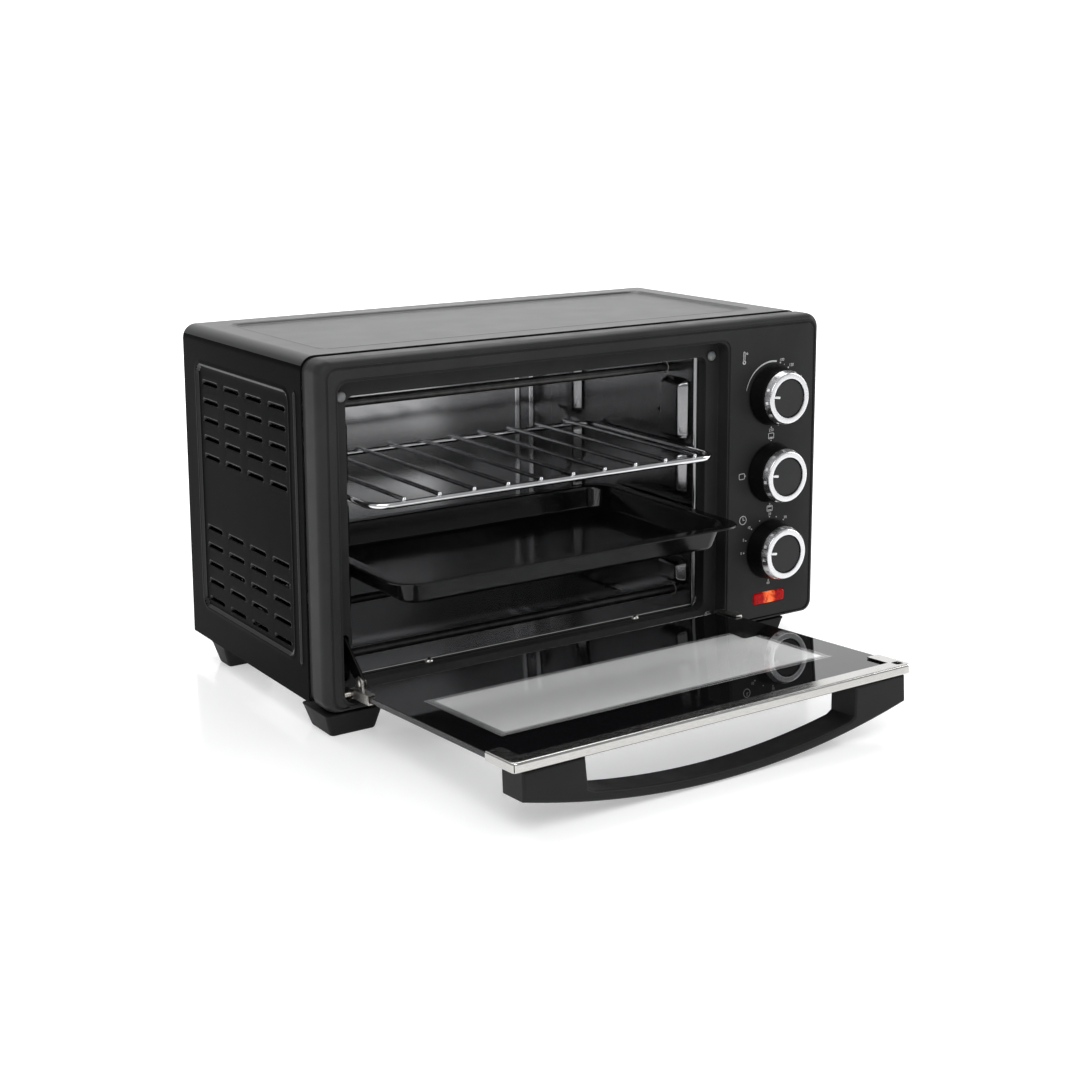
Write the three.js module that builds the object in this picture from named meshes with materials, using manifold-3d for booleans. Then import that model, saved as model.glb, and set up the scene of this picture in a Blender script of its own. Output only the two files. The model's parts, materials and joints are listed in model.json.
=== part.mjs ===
// A compact countertop oven with a glass drop-down door, a wire rack and a baking tray.
// Millimetres, +Z up, the door faces -Y. In this file x runs from the body's middle, y runs back
// from the cover's front edge and z runs up from the cover's bottom edge. The finished group is
// moved so that the origin is the middle of the object's underside.
import * as THREE from 'three';
import { mergeVertices } from 'three/addons/utils/BufferGeometryUtils.js';
import Module from 'manifold-3d';

const wasm = await Module();
wasm.setup();

// ---------------------------------------------------------------- driving dimensions

const GAP = 0.3; // between touching pieces
const SHEET = 1; // thickness of the pressed steel sheets
const BODY = { halfWidth: 210, depth: 191, height: 230, corner: 10 };
const DOOR_X = -37.5; // middle of the door and of the cooking space
const FRAME = { front: -26, shoulder: -18, rib: -6, back: -0.4, bottom: -2.5, top: 229.8, skin: 2, corner: 9 };
const RECESS = { halfWidth: 159, bottom: 2.5, top: 214.8, floor: -14, corner: 8 };
const OPENING = { halfWidth: 147.5, bottom: 13, top: 203.5, back: -5, corner: 6, wall: 1.5 };
const CAVITY = { halfWidth: 144.5, front: -4.6, back: 184, floor: 3.7, top: 205, lip: 15.3 };
const BOSS = { height: 7, slope: 4 };
const BOSS_COLUMNS = [[2, 31], [138, 167]];
const BOSS_ROWS = [[27.6, 48], [52, 88.7], [97, 131.4], [138, 185.5]];
const HINGE = { y: -22, z: 8.5 };
const DOOR = { halfWidth: 154, bottom: 15, top: 207.2, inner: -17.8, glass: 4, openAngle: 86.5 };
const TRIM = { sheet: 1, flange: 10, side: 33 };
const HANDLE = { halfWidth: 149, opening: 107, endReach: 16, middleReach: 35, bar: 5.5, from: 184.5, to: 208 };
const LINK = { thickness: 1.6, length: 60, angle: 39.4, endRadius: 4.2 };
const RIVET = { y: -11.5, z: 22.5 }; // on the closed door's bracket ear
const RACK = { halfWidth: 142.5, front: -38.3, back: 129.3, wire: 4.6, crossWire: 3, crossWires: 10, corner: 14 };
const TRAY = { halfWidth: 141.5, front: -70, back: 106, rim: 90, depth: 18, corner: 18 };
const KNOB = { x: 163.3, heights: [172, 113, 54], foot: 22.8, face: 20, ring: 20.4, ringFace: 18.4, disc: 14.1 };
const LENS = { x: 163.7, z: 16.2, width: 30, height: 8.6 };
const ROD = { radius: 3.2, terminal: 1.5, reach: 155, terminalReach: 162 };
const ROD_PLACES = { upper_front: [30, 191], upper_rear: [130, 191], lower_front: [18, 21.5], lower_rear: [130, 21.5] };
const FLOOR_LEVEL = -18; // what the feet stand on
const GLAND = { x: 170, z: 30 };

// ---------------------------------------------------------------- solids from three.js shapes

function solid(geometry) {
  const bare = geometry.clone();
  bare.deleteAttribute('normal');
  bare.deleteAttribute('uv');
  const merged = mergeVertices(bare, 1e-4);
  const mesh = new wasm.Mesh({
    numProp: 3,
    vertProperties: new Float32Array(merged.attributes.position.array),
    triVerts: new Uint32Array(merged.index.array),
  });
  return new wasm.Manifold(mesh);
}

function union(solids) {
  return solids.reduce((joined, next) => joined.add(next));
}

function toGeometry(body) {
  const mesh = body.getMesh();
  const geometry = new THREE.BufferGeometry();
  geometry.setAttribute('position', new THREE.BufferAttribute(new Float32Array(mesh.vertProperties), 3));
  geometry.setIndex(new THREE.BufferAttribute(new Uint32Array(mesh.triVerts), 1));
  const faceted = geometry.toNonIndexed();
  faceted.computeVertexNormals();
  return faceted;
}

function box(x0, x1, y0, y1, z0, z1) {
  const geometry = new THREE.BoxGeometry(x1 - x0, y1 - y0, z1 - z0);
  return solid(geometry.translate((x0 + x1) / 2, (y0 + y1) / 2, (z0 + z1) / 2));
}

// A rectangle with round corners, in the plane of the shape.
function roundRect(a0, b0, a1, b1, radius) {
  const shape = new THREE.Shape();
  shape.moveTo(a0 + radius, b0);
  shape.lineTo(a1 - radius, b0);
  shape.absarc(a1 - radius, b0 + radius, radius, -Math.PI / 2, 0, false);
  shape.lineTo(a1, b1 - radius);
  shape.absarc(a1 - radius, b1 - radius, radius, 0, Math.PI / 2, false);
  shape.lineTo(a0 + radius, b1);
  shape.absarc(a0 + radius, b1 - radius, radius, Math.PI / 2, Math.PI, false);
  shape.lineTo(a0, b0 + radius);
  shape.absarc(a0 + radius, b0 + radius, radius, Math.PI, Math.PI * 1.5, false);
  return shape;
}

function extrude(shape, depth, options = {}) {
  return new THREE.ExtrudeGeometry(shape, { depth, bevelEnabled: false, curveSegments: 2, ...options });
}

// The shape is drawn in x and z, and fills y0 to y1.
function prismY(shape, y0, y1) {
  return solid(extrude(shape, y1 - y0).rotateX(Math.PI / 2).translate(0, y1, 0));
}

// The shape is drawn in y and z, and fills x0 to x1.
function prismX(shape, x0, x1, options) {
  const turn = new THREE.Matrix4().makeBasis(
    new THREE.Vector3(0, 1, 0), new THREE.Vector3(0, 0, 1), new THREE.Vector3(1, 0, 0));
  return solid(extrude(shape, x1 - x0, options).applyMatrix4(turn).translate(x0, 0, 0));
}

// A turned piece on the y axis: the profile lists [radius, y] from the axis round to the axis.
function turnedY(profile, sides = 20) {
  const points = profile.map(([radius, y]) => new THREE.Vector2(radius, y));
  return solid(new THREE.LatheGeometry(points, sides));
}

function cylinderX(radius, x0, x1, y, z, sides = 16) {
  const geometry = new THREE.CylinderGeometry(radius, radius, x1 - x0, sides).rotateZ(Math.PI / 2);
  return solid(geometry.translate((x0 + x1) / 2, y, z));
}

function cylinderY(radius, x, z, y0, y1, sides = 20) {
  const geometry = new THREE.CylinderGeometry(radius, radius, y1 - y0, sides);
  return solid(geometry.translate(x, (y0 + y1) / 2, z));
}

function cylinderZ(radius, x, y, z0, z1, sides = 16) {
  const geometry = new THREE.CylinderGeometry(radius, radius, z1 - z0, sides).rotateX(Math.PI / 2);
  return solid(geometry.translate(x, y, (z0 + z1) / 2));
}

// Joins rings of equal point counts: each ring to the next, and the last to the first or both to flat ends.
function skin(rings, closed) {
  const count = rings[0].length;
  const positions = rings.flat().flatMap((point) => point.toArray());
  const index = [];
  const spans = closed ? rings.length : rings.length - 1;
  for (let span = 0; span < spans; span += 1) {
    const low = span * count;
    const high = ((span + 1) % rings.length) * count;
    for (let i = 0; i < count; i += 1) {
      const next = (i + 1) % count;
      index.push(low + i, low + next, high + next, low + i, high + next, high + i);
    }
  }
  if (!closed) {
    const top = (rings.length - 1) * count;
    for (let i = 1; i + 1 < count; i += 1) {
      index.push(0, i + 1, i);
      index.push(top, top + i, top + i + 1);
    }
  }
  const geometry = new THREE.BufferGeometry();
  geometry.setAttribute('position', new THREE.Float32BufferAttribute(positions, 3));
  geometry.setIndex(index);
  return solid(geometry);
}

// A block whose level sections are rounded rectangles, from the lowest section to the highest.
function loft(sections) {
  const rings = sections.map(({ x0, x1, y0, y1, radius, z }) => {
    const outline = roundRect(x0, y0, x1, y1, radius).extractPoints(2).shape;
    return outline.map((point) => new THREE.Vector3(point.x, point.y, z));
  });
  return skin(rings, false);
}

// A ring of round wire whose middle line is a level outline.
function wireLoop(outline, radius, z, sides = 8) {
  const points = outline.extractPoints(3).shape;
  const rings = points.map((point, i) => {
    const before = points[(i + points.length - 1) % points.length];
    const after = points[(i + 1) % points.length];
    const along = after.clone().sub(before).normalize();
    return Array.from({ length: sides }, (_, k) => {
      const angle = (k / sides) * Math.PI * 2;
      const out = Math.cos(angle) * radius;
      return new THREE.Vector3(point.x + along.y * out, point.y - along.x * out, z - Math.sin(angle) * radius);
    });
  });
  return skin(rings, true);
}

function section(halfWidth, y0, y1, radius, z) {
  return { x0: DOOR_X - halfWidth, x1: DOOR_X + halfWidth, y0, y1, radius, z };
}

// A round bar along a path.
function wire(path, radius, steps, sides = 8) {
  const round = new THREE.Shape().absarc(0, 0, radius, 0, Math.PI * 2, false);
  const options = { steps, bevelEnabled: false, curveSegments: sides / 2, extrudePath: path };
  return solid(new THREE.ExtrudeGeometry(round, options));
}

function mirrorAbout(body, x) {
  return body.mirror([1, 0, 0]).translate([2 * x, 0, 0]);
}

// ---------------------------------------------------------------- outer shell

const LOUVRE = { length: 25, height: 2.6, pitchY: 36.3, pitchZ: 13.37, firstY: 40 };
const LOUVRE_TOPS = [191.5, 85.5];
const PRESSED = { depth: 1.5, radius: 8, side: [19, 169, 25, 205], top: [27, 393, 21, 171] };

function coverBlock(inset) {
  const { halfWidth, height, corner } = BODY;
  const outline = roundRect(-halfWidth + inset, -corner * 2, halfWidth - inset, height - inset, corner - inset);
  return prismY(outline, -inset, BODY.depth + inset);
}

// The pressed areas of the cover, grown by the sheet's thickness for the inside of the pressing.
function pressings(grow) {
  const { depth, radius, side, top } = PRESSED;
  const face = roundRect(side[0] - grow, side[2] - grow, side[1] + grow, side[3] + grow, radius);
  const outside = BODY.halfWidth - grow;
  const left = prismX(face, -outside, -outside + depth);
  const right = prismX(face, outside - depth, outside);
  const x0 = top[0] - grow - BODY.halfWidth;
  const x1 = top[1] + grow - BODY.halfWidth;
  const z = BODY.height - grow;
  const across = { x0, x1, y0: top[2] - grow, y1: top[3] + grow, radius };
  const upper = loft([{ ...across, z: z - depth }, { ...across, z }]);
  const grooves = [-outside, outside].map((x) => cylinderZ(1.5, x, 9, 24 - grow, 204 + grow, 8));
  return union([left, right, upper, ...grooves]);
}

function louvreSlots() {
  const slots = [];
  for (const top of LOUVRE_TOPS) {
    for (let column = 0; column < 4; column += 1) {
      for (let row = 0; row < 5; row += 1) {
        const y = LOUVRE.firstY + column * LOUVRE.pitchY;
        const z = top - row * LOUVRE.pitchZ;
        slots.push(box(-BODY.halfWidth - 1, BODY.halfWidth + 1,
          y - LOUVRE.length / 2, y + LOUVRE.length / 2, z - LOUVRE.height / 2, z + LOUVRE.height / 2));
      }
    }
  }
  return union(slots);
}

function outerCover() {
  const sheetOutside = coverBlock(0).subtract(pressings(0));
  const inside = coverBlock(SHEET).subtract(pressings(SHEET));
  const belowEdge = box(-BODY.halfWidth - 1, BODY.halfWidth + 1, -1, BODY.depth + 1, -BODY.corner * 3, 0);
  return sheetOutside.subtract(inside).subtract(belowEdge).subtract(louvreSlots());
}

const REAR = { front: 180, inner: 187.5, outer: 188.5, inset: 1.3, screwX: 198, screwZ: [22, 208], ventColumns: [-120, 0, 120] };

function rearPanel() {
  const edge = BODY.halfWidth - REAR.inset;
  const top = BODY.height - REAR.inset;
  const outside = prismY(roundRect(-edge, REAR.inset, edge, top, 8), REAR.front, REAR.outer);
  const hollow = roundRect(-edge + SHEET, REAR.inset + SHEET, edge - SHEET, top - SHEET, 7);
  const cuts = [prismY(hollow, REAR.front - 1, REAR.inner)];
  for (const x of REAR.ventColumns) {
    for (let row = 0; row < 6; row += 1) {
      const z = 196 - row * 12;
      cuts.push(box(x - 24, x + 24, REAR.inner - 1, REAR.outer + 1, z - 1.3, z + 1.3));
    }
  }
  cuts.push(cylinderY(6.4, GLAND.x, GLAND.z, REAR.inner - 1, REAR.outer + 1));
  for (const x of [-REAR.screwX, REAR.screwX]) {
    for (const z of REAR.screwZ) cuts.push(cylinderY(1.8, x, z, REAR.inner - 1, REAR.outer + 1, 10));
  }
  return outside.subtract(union(cuts));
}

function rearScrew(x, z) {
  const profile = [[0, 182], [1.4, 183], [1.4, REAR.outer + GAP], [3.6, REAR.outer + GAP], [3.4, 190.2], [2, 190.9],
    [0, 190.9]];
  return turnedY(profile, 12).translate([x, 0, z]);
}

function basePlate() {
  const edge = BODY.halfWidth - SHEET - GAP;
  const plate = box(-edge, edge, -FRAME.back, REAR.outer, 0, SHEET);
  const flanges = [-1, 1].map((side) => {
    const inner = side * (edge - SHEET);
    return box(Math.min(inner, side * edge), Math.max(inner, side * edge), -FRAME.back, REAR.front - 1, 0, 12);
  });
  const vents = [];
  for (let column = 0; column < 6; column += 1) {
    const x = 134 + column * 11;
    vents.push(box(x - 2, x + 2, 60, 110, -1, SHEET + 1));
  }
  return union([plate, ...flanges]).subtract(union(vents));
}

// ---------------------------------------------------------------- front frame

function frameOutline(inset) {
  const half = BODY.halfWidth - inset;
  return roundRect(-half, FRAME.bottom + inset, half, FRAME.top - inset, FRAME.corner - Math.min(inset, 4));
}

function doorRect(halfWidth, bottom, top, radius) {
  return roundRect(DOOR_X - halfWidth, bottom, DOOR_X + halfWidth, top, radius);
}

const SHOULDER_DROP = 4;
const LINK_SLOT = { x: 152.3, halfWidth: 3, bottom: 14, top: 46 };
const HINGE_NOTCH = { halfWidth: 3.5, bottom: 3.4, top: 10.5 };

function frontFrame() {
  const shoulderDepth = FRAME.shoulder - FRAME.front;
  const bevel = { bevelEnabled: true, bevelThickness: shoulderDepth, bevelSize: SHOULDER_DROP, bevelSegments: 3 };
  const crown = extrude(frameOutline(SHOULDER_DROP), 4, bevel).rotateX(Math.PI / 2);
  const crownBack = FRAME.shoulder + 4;
  const shell = union([
    prismY(frameOutline(0), FRAME.shoulder, FRAME.rib),
    prismY(frameOutline(1.2), FRAME.rib - 1, FRAME.back),
    solid(crown.translate(0, crownBack, 0)),
  ]);
  const hollow = union([
    prismY(frameOutline(SHOULDER_DROP + 1), FRAME.front + FRAME.skin, FRAME.shoulder + 1),
    prismY(frameOutline(FRAME.skin + 0.4), FRAME.shoulder, 1),
  ]);
  const grow = FRAME.skin;
  const pan = prismY(doorRect(RECESS.halfWidth + grow, RECESS.bottom - grow, RECESS.top + grow, RECESS.corner + grow),
    FRAME.front, RECESS.floor + grow);
  const wall = OPENING.wall;
  const tube = prismY(doorRect(OPENING.halfWidth + wall, OPENING.bottom - wall, OPENING.top + wall,
    OPENING.corner + wall), RECESS.floor, OPENING.back);
  const cuts = [
    prismY(doorRect(RECESS.halfWidth, RECESS.bottom, RECESS.top, RECESS.corner), FRAME.front - 1, RECESS.floor),
    prismY(doorRect(OPENING.halfWidth, OPENING.bottom, OPENING.top, OPENING.corner), RECESS.floor - 1, 0),
    prismY(roundRect(LENS.x - LENS.width / 2 - GAP, LENS.z - LENS.height / 2 - GAP,
      LENS.x + LENS.width / 2 + GAP, LENS.z + LENS.height / 2 + GAP, 2.3), FRAME.front - 1, FRAME.shoulder),
  ];
  for (const z of KNOB.heights) cuts.push(cylinderY(4.5, KNOB.x, z, FRAME.front - 1, FRAME.shoulder));
  const slotX = DOOR_X - LINK_SLOT.x;
  cuts.push(prismY(roundRect(slotX - LINK_SLOT.halfWidth, LINK_SLOT.bottom, slotX + LINK_SLOT.halfWidth,
    LINK_SLOT.top, 2.5), RECESS.floor - 1, RECESS.floor + 3));
  for (const side of [-1, 1]) {
    const x = DOOR_X + side * LINK_SLOT.x;
    cuts.push(prismY(roundRect(x - HINGE_NOTCH.halfWidth, HINGE_NOTCH.bottom, x + HINGE_NOTCH.halfWidth,
      HINGE_NOTCH.top, 3), RECESS.floor - 1, RECESS.floor + 3));
    const wallX = DOOR_X + side * RECESS.halfWidth;
    cuts.push(cylinderX(2.4, wallX - 4, wallX + 4, HINGE.y, HINGE.z, 12));
  }
  return shell.subtract(hollow).add(pan).add(tube).subtract(union(cuts));
}

function bumper(side) {
  const profile = [[0, RECESS.floor - GAP], [3.6, RECESS.floor - GAP], [3.4, -15.7], [2.4, -16.3], [0, -16.3]];
  return turnedY(profile.reverse(), 14).translate([DOOR_X + side * 151.6, 0, 204]);
}

// ---------------------------------------------------------------- cooking space

// Pressed guides: the rack and the tray slide in the gaps between them.
function bosses(shift) {
  const parts = [];
  for (const [y0, y1] of BOSS_COLUMNS) {
    for (const [z0, z1] of BOSS_ROWS) {
      const slope = BOSS.slope;
      const face = roundRect(y0 + slope, z0 + slope, y1 - slope, z1 - slope, 2);
      const bevel = { bevelEnabled: true, bevelThickness: BOSS.height, bevelSize: slope, bevelSegments: 1 };
      const x = DOOR_X - CAVITY.halfWidth + shift;
      parts.push(prismX(face, x - 0.5, x, { ...bevel, curveSegments: 1 }));
    }
  }
  return union(parts);
}

function cavityWall() {
  const inner = DOOR_X - CAVITY.halfWidth;
  const outer = inner - SHEET;
  const bottom = CAVITY.floor + GAP;
  const sheet = box(outer, inner, CAVITY.front, CAVITY.back, bottom, CAVITY.top);
  const flange = box(outer - 3, inner, CAVITY.front, CAVITY.front + SHEET, bottom + 12, CAVITY.top);
  const beyond = box(outer - 20, outer, CAVITY.front - 1, CAVITY.back + 1, 0, CAVITY.top + 1);
  const formed = bosses(0).subtract(beyond);
  const holes = Object.values(ROD_PLACES).map(([y, z]) => cylinderX(4.6, outer - 1, inner + 1, y, z, 14));
  return union([sheet, flange, formed]).subtract(bosses(-SHEET)).subtract(union(holes));
}

// The left wall also carries the tab that anchors the door spring.
function cavityLeftWall() {
  const outer = DOOR_X - CAVITY.halfWidth - SHEET;
  return cavityWall().add(box(outer - 4, outer, 86, 87.5, 46, 53));
}

function cavityRightWall() {
  return mirrorAbout(cavityWall(), DOOR_X);
}

function cavityCeiling() {
  const half = CAVITY.halfWidth + 4;
  const z = CAVITY.top + GAP;
  return box(DOOR_X - half, DOOR_X + half, CAVITY.front, CAVITY.back, z, z + SHEET);
}

function cavityRearWall() {
  const half = CAVITY.halfWidth + 4;
  const y = CAVITY.back + GAP;
  const sheet = box(DOOR_X - half, DOOR_X + half, y, y + SHEET, CAVITY.floor + GAP, CAVITY.top + GAP + SHEET);
  const ribs = [74, 87.5].map((x) => cylinderZ(1.6, x, y, 12, 196, 10));
  return union([sheet, ...ribs]);
}

function cavityFloor() {
  const half = CAVITY.halfWidth + 4;
  const x0 = DOOR_X - half;
  const x1 = DOOR_X + half;
  const sheet = box(x0, x1, CAVITY.front, CAVITY.back, CAVITY.floor - SHEET, CAVITY.floor);
  const inner = CAVITY.halfWidth - GAP;
  const lip = box(DOOR_X - inner, DOOR_X + inner, CAVITY.front, CAVITY.front + SHEET, CAVITY.floor - SHEET, CAVITY.lip);
  return sheet.add(lip);
}

function heatingElement([y, z]) {
  const { radius, terminal, reach, terminalReach } = ROD;
  const profile = [[0, -terminalReach], [terminal, -terminalReach], [terminal, -reach], [radius, -reach],
    [radius, reach], [terminal, reach], [terminal, terminalReach], [0, terminalReach]];
  return turnedY(profile, 12).rotate([0, 0, 90]).translate([DOOR_X, y, z]);
}

// A ceramic bush: its neck passes the wall and its flange bears on the wall's outside.
function insulator(side, [y, z]) {
  const wall = CAVITY.halfWidth + SHEET;
  const profile = [[3.5, wall - SHEET - 1], [4.3, wall - SHEET - 1], [4.3, wall + GAP], [6.5, wall + GAP],
    [6.5, wall + 4.5], [3.5, wall + 4.5]];
  const bush = turnedY([...profile, profile[0]], 10).rotate([0, 0, -90]);
  const placed = side > 0 ? bush : bush.mirror([1, 0, 0]);
  return placed.translate([DOOR_X, y, z]);
}

function wireRack() {
  const z = BOSS_ROWS[2][1] + GAP + RACK.wire / 2;
  const radius = RACK.wire / 2;
  const front = RACK.front + radius;
  const back = RACK.back - radius;
  const half = RACK.halfWidth - radius;
  const loop = wireLoop(roundRect(-half, front, half, back, RACK.corner), radius, z);
  const pitch = 26.5;
  const cross = [];
  for (let i = 0; i < RACK.crossWires; i += 1) {
    const x = (i - (RACK.crossWires - 1) / 2) * pitch;
    cross.push(cylinderY(RACK.crossWire / 2, x, z + radius + 1, RACK.front, RACK.back, 6));
  }
  return union([loop, ...cross]).translate([DOOR_X, 0, 0]);
}

function bakingTray() {
  const { halfWidth, front, back, rim, depth, corner } = TRAY;
  const lip = 9; // flat rim round the basin
  const slope = 6;
  const basin = (grow, z, inset) => section(halfWidth - lip - inset + grow, front + lip + inset - grow,
    back - lip - inset + grow, corner - 4, z);
  const rimPlate = loft([section(halfWidth, front, back, corner, rim - SHEET), section(halfWidth, front, back, corner, rim)]);
  const outside = loft([basin(SHEET, rim - depth, slope), basin(SHEET, rim - SHEET / 2, 0)]);
  const inside = loft([basin(0, rim - depth + SHEET, slope), basin(0, rim + SHEET, 0)]);
  return rimPlate.add(outside).subtract(inside);
}

// ---------------------------------------------------------------- door, drawn closed

function doorGlass() {
  const outline = doorRect(DOOR.halfWidth, DOOR.bottom, DOOR.top, 3);
  return prismY(outline, DOOR.inner - DOOR.glass, DOOR.inner);
}

// A channel folded over the free edge, with a short return down each side.
function doorTrimChannel() {
  const clear = GAP + TRIM.sheet;
  const outline = doorRect(DOOR.halfWidth + clear, DOOR.top - TRIM.side, DOOR.top + clear, 4);
  const outside = prismY(outline, DOOR.inner - DOOR.glass - clear, DOOR.inner + clear);
  const slotOutline = doorRect(DOOR.halfWidth + GAP, DOOR.top - TRIM.side - 5, DOOR.top + GAP, 3);
  const slot = prismY(slotOutline, DOOR.inner - DOOR.glass - GAP, DOOR.inner + GAP);
  const reach = DOOR.halfWidth - TRIM.flange;
  const middle = prismY(doorRect(reach, DOOR.bottom, DOOR.top - TRIM.flange, 1), -40, 0);
  const belowSides = prismY(doorRect(DOOR.halfWidth + 9, DOOR.bottom, DOOR.top - TRIM.side + 4, 1), -40, 0);
  const notches = [-1, 1].map((side) => {
    const x = DOOR_X + side * (DOOR.halfWidth - 5.5);
    const z = DOOR.top - 5.5;
    return box(x - 2.5, x + 2.5, DOOR.inner - 1, DOOR.inner + 2, z - 2.5, z + 2.5);
  });
  return outside.subtract(union([slot, middle, belowSides, ...notches]));
}

function doorHandle() {
  const mount = DOOR.inner - DOOR.glass - GAP - TRIM.sheet - GAP; // the trim's outer face, less the gap
  const reachAt = (reach) => DOOR.inner - DOOR.glass - reach;
  const bow = (half, endReach, middleReach) => {
    const shape = new THREE.Shape();
    const steps = 14;
    shape.moveTo(DOOR_X - half, mount);
    for (let i = 0; i <= steps; i += 1) {
      const across = (i / steps) * 2 - 1;
      shape.lineTo(DOOR_X + across * half, reachAt(middleReach - (middleReach - endReach) * across * across));
    }
    shape.lineTo(DOOR_X + half, mount);
    return shape;
  };
  const height = HANDLE.to - HANDLE.from;
  const upright = (shape) => solid(extrude(shape, height)).translate([0, 0, HANDLE.from]);
  const openingEnd = HANDLE.middleReach - HANDLE.bar - 11;
  const outer = upright(bow(HANDLE.halfWidth, HANDLE.endReach, HANDLE.middleReach));
  const grip = solid(extrude(bow(HANDLE.opening, openingEnd, HANDLE.middleReach - HANDLE.bar), height + 2))
    .translate([0, 0.5, HANDLE.from - 1]);
  const beneath = box(DOOR_X - HANDLE.opening, DOOR_X + HANDLE.opening, mount - 1, mount + 5, 100, 300);
  const pads = [-1, 1].map((side) => {
    const x = DOOR_X + (side * (HANDLE.halfWidth + HANDLE.opening)) / 2;
    return box(x - 15, x + 15, mount - 1, DOOR.inner - DOOR.glass - GAP, HANDLE.from, DOOR.top - TRIM.flange - GAP);
  });
  return outer.subtract(grip).subtract(beneath).add(union(pads));
}

// A folded clamp on the glass edge, with the pivot pin outside and the link's ear inside.
function hingeBracket(hasEar) {
  const sheet = 1.2;
  const edge = DOOR_X - DOOR.halfWidth - GAP;
  const front = DOOR.inner - DOOR.glass - GAP;
  const back = DOOR.inner + GAP;
  const web = box(edge - sheet, edge, front - sheet, back + sheet, HINGE.z, 36.5);
  const knuckle = cylinderX(4.2, edge - sheet, edge, HINGE.y, HINGE.z, 20);
  const legs = [
    box(edge - sheet, edge + 4.5, back, back + sheet, DOOR.bottom - 1, 36.5),
    box(edge - sheet, edge + 11, front - sheet, front, DOOR.bottom - 1, 36.5),
  ];
  const pin = cylinderX(2, edge - 7, edge, HINGE.y, HINGE.z, 12);
  const clamp = union([web, knuckle, ...legs, pin]);
  if (!hasEar) return clamp;
  const earX = edge + 0.3;
  const ear = cylinderX(4.4, earX, earX + 1.4, RIVET.y, RIVET.z, 18);
  const earFoot = box(earX, earX + 1.4, back, RIVET.y, RIVET.z - 4.4, RIVET.z + 4.4);
  const hole = cylinderX(1.9, earX - 1, earX + 3, RIVET.y, RIVET.z, 12);
  return union([clamp, ear, earFoot]).subtract(hole);
}

function rivetLeft() {
  const ear = DOOR_X - DOOR.halfWidth;
  const head = cylinderX(2.8, ear - 0.9, ear - GAP, RIVET.y, RIVET.z, 14);
  const shank = cylinderX(1.6, ear - 0.8, ear + 4, RIVET.y, RIVET.z, 12);
  const tail = cylinderX(2.8, ear + 3.7, ear + 4.6, RIVET.y, RIVET.z, 14);
  return union([head, shank, tail]);
}

// ---------------------------------------------------------------- door links, drawn with the door open

// Where a point of the closed door is once the door lies open.
function opened(y, z) {
  const angle = THREE.MathUtils.degToRad(DOOR.openAngle);
  const dy = y - HINGE.y;
  const dz = z - HINGE.z;
  return [HINGE.y + dy * Math.cos(angle) - dz * Math.sin(angle), HINGE.z + dy * Math.sin(angle) + dz * Math.cos(angle)];
}

const LINK_LEFT_X = DOOR_X - DOOR.halfWidth + 1.8; // the arm's outer face

function linkArmLeft() {
  const [y, z] = opened(RIVET.y, RIVET.z);
  const end = LINK.endRadius;
  const blade = new THREE.Shape();
  blade.absarc(0, 0, end, Math.PI / 2, Math.PI * 1.5, false);
  blade.lineTo(10, -7);
  blade.lineTo(40, -8);
  blade.lineTo(LINK.length, -4);
  blade.absarc(LINK.length, 0, end, -Math.PI / 2, Math.PI / 2, false);
  const plate = prismX(blade, 0, LINK.thickness, { curveSegments: 6 });
  const holes = [cylinderX(1.9, -1, 3, 0, 0, 12), cylinderX(1.6, -1, 3, LINK.length, 0, 12)];
  return plate.subtract(union(holes)).rotate([LINK.angle, 0, 0]).translate([LINK_LEFT_X, y, z]);
}

// A close-wound pull spring, as its outer shape, hooked in the arm's inner end.
function doorSpringLeft() {
  const [y, z] = opened(RIVET.y, RIVET.z);
  const angle = THREE.MathUtils.degToRad(LINK.angle);
  const hookY = y + LINK.length * Math.cos(angle);
  const hookZ = z + LINK.length * Math.sin(angle);
  const x = LINK_LEFT_X + LINK.thickness / 2;
  const profile = [[0, 6], [1, 6], [1, 10], [3.5, 11], [3.5, 60], [1, 61], [1, 68], [0, 68]];
  const coil = turnedY(profile, 10).translate([x, hookY, hookZ]);
  const hook = wire(new THREE.QuadraticBezierCurve3(new THREE.Vector3(x, hookY + 7, hookZ),
    new THREE.Vector3(x - 3.5, hookY + 5, hookZ), new THREE.Vector3(x - 3.5, hookY - 1, hookZ)), 0.8, 4, 6);
  const tip = cylinderX(0.9, x - 3.9, x + 2.2, hookY, hookZ, 6);
  return union([coil, hook, tip]);
}

// ---------------------------------------------------------------- controls

const SKIRT_BACK = FRAME.front - 0.6;
const KNOB_FACE = -46;
const KNOB_SHOULDER = -40.5; // where the ring sits on the skirt

function knobBody(z) {
  const profile = [[0, KNOB_FACE + 1], [KNOB.disc, KNOB_FACE + 1], [KNOB.disc, KNOB_SHOULDER], [KNOB.face, KNOB_SHOULDER],
    [21.2, -35], [KNOB.foot, -28.5], [KNOB.foot, SKIRT_BACK], [0, SKIRT_BACK]];
  const bore = cylinderY(3.3, 0, 0, -36, SKIRT_BACK + 1, 14);
  return turnedY(profile, 24).subtract(bore).translate([KNOB.x, 0, z]);
}

function knobRing(z) {
  const back = KNOB_SHOULDER - GAP;
  const profile = [[KNOB.disc + GAP, KNOB_FACE + 0.6], [KNOB.disc + 1, KNOB_FACE], [KNOB.ringFace, KNOB_FACE],
    [KNOB.ringFace + 0.6, KNOB_FACE + 0.6], [KNOB.ring, back], [KNOB.disc + GAP, back]];
  return turnedY([...profile, profile[0]], 24).translate([KNOB.x, 0, z]);
}

function controlShaft(z) {
  return cylinderY(3, KNOB.x, z, -35.5, -10, 14);
}

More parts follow.
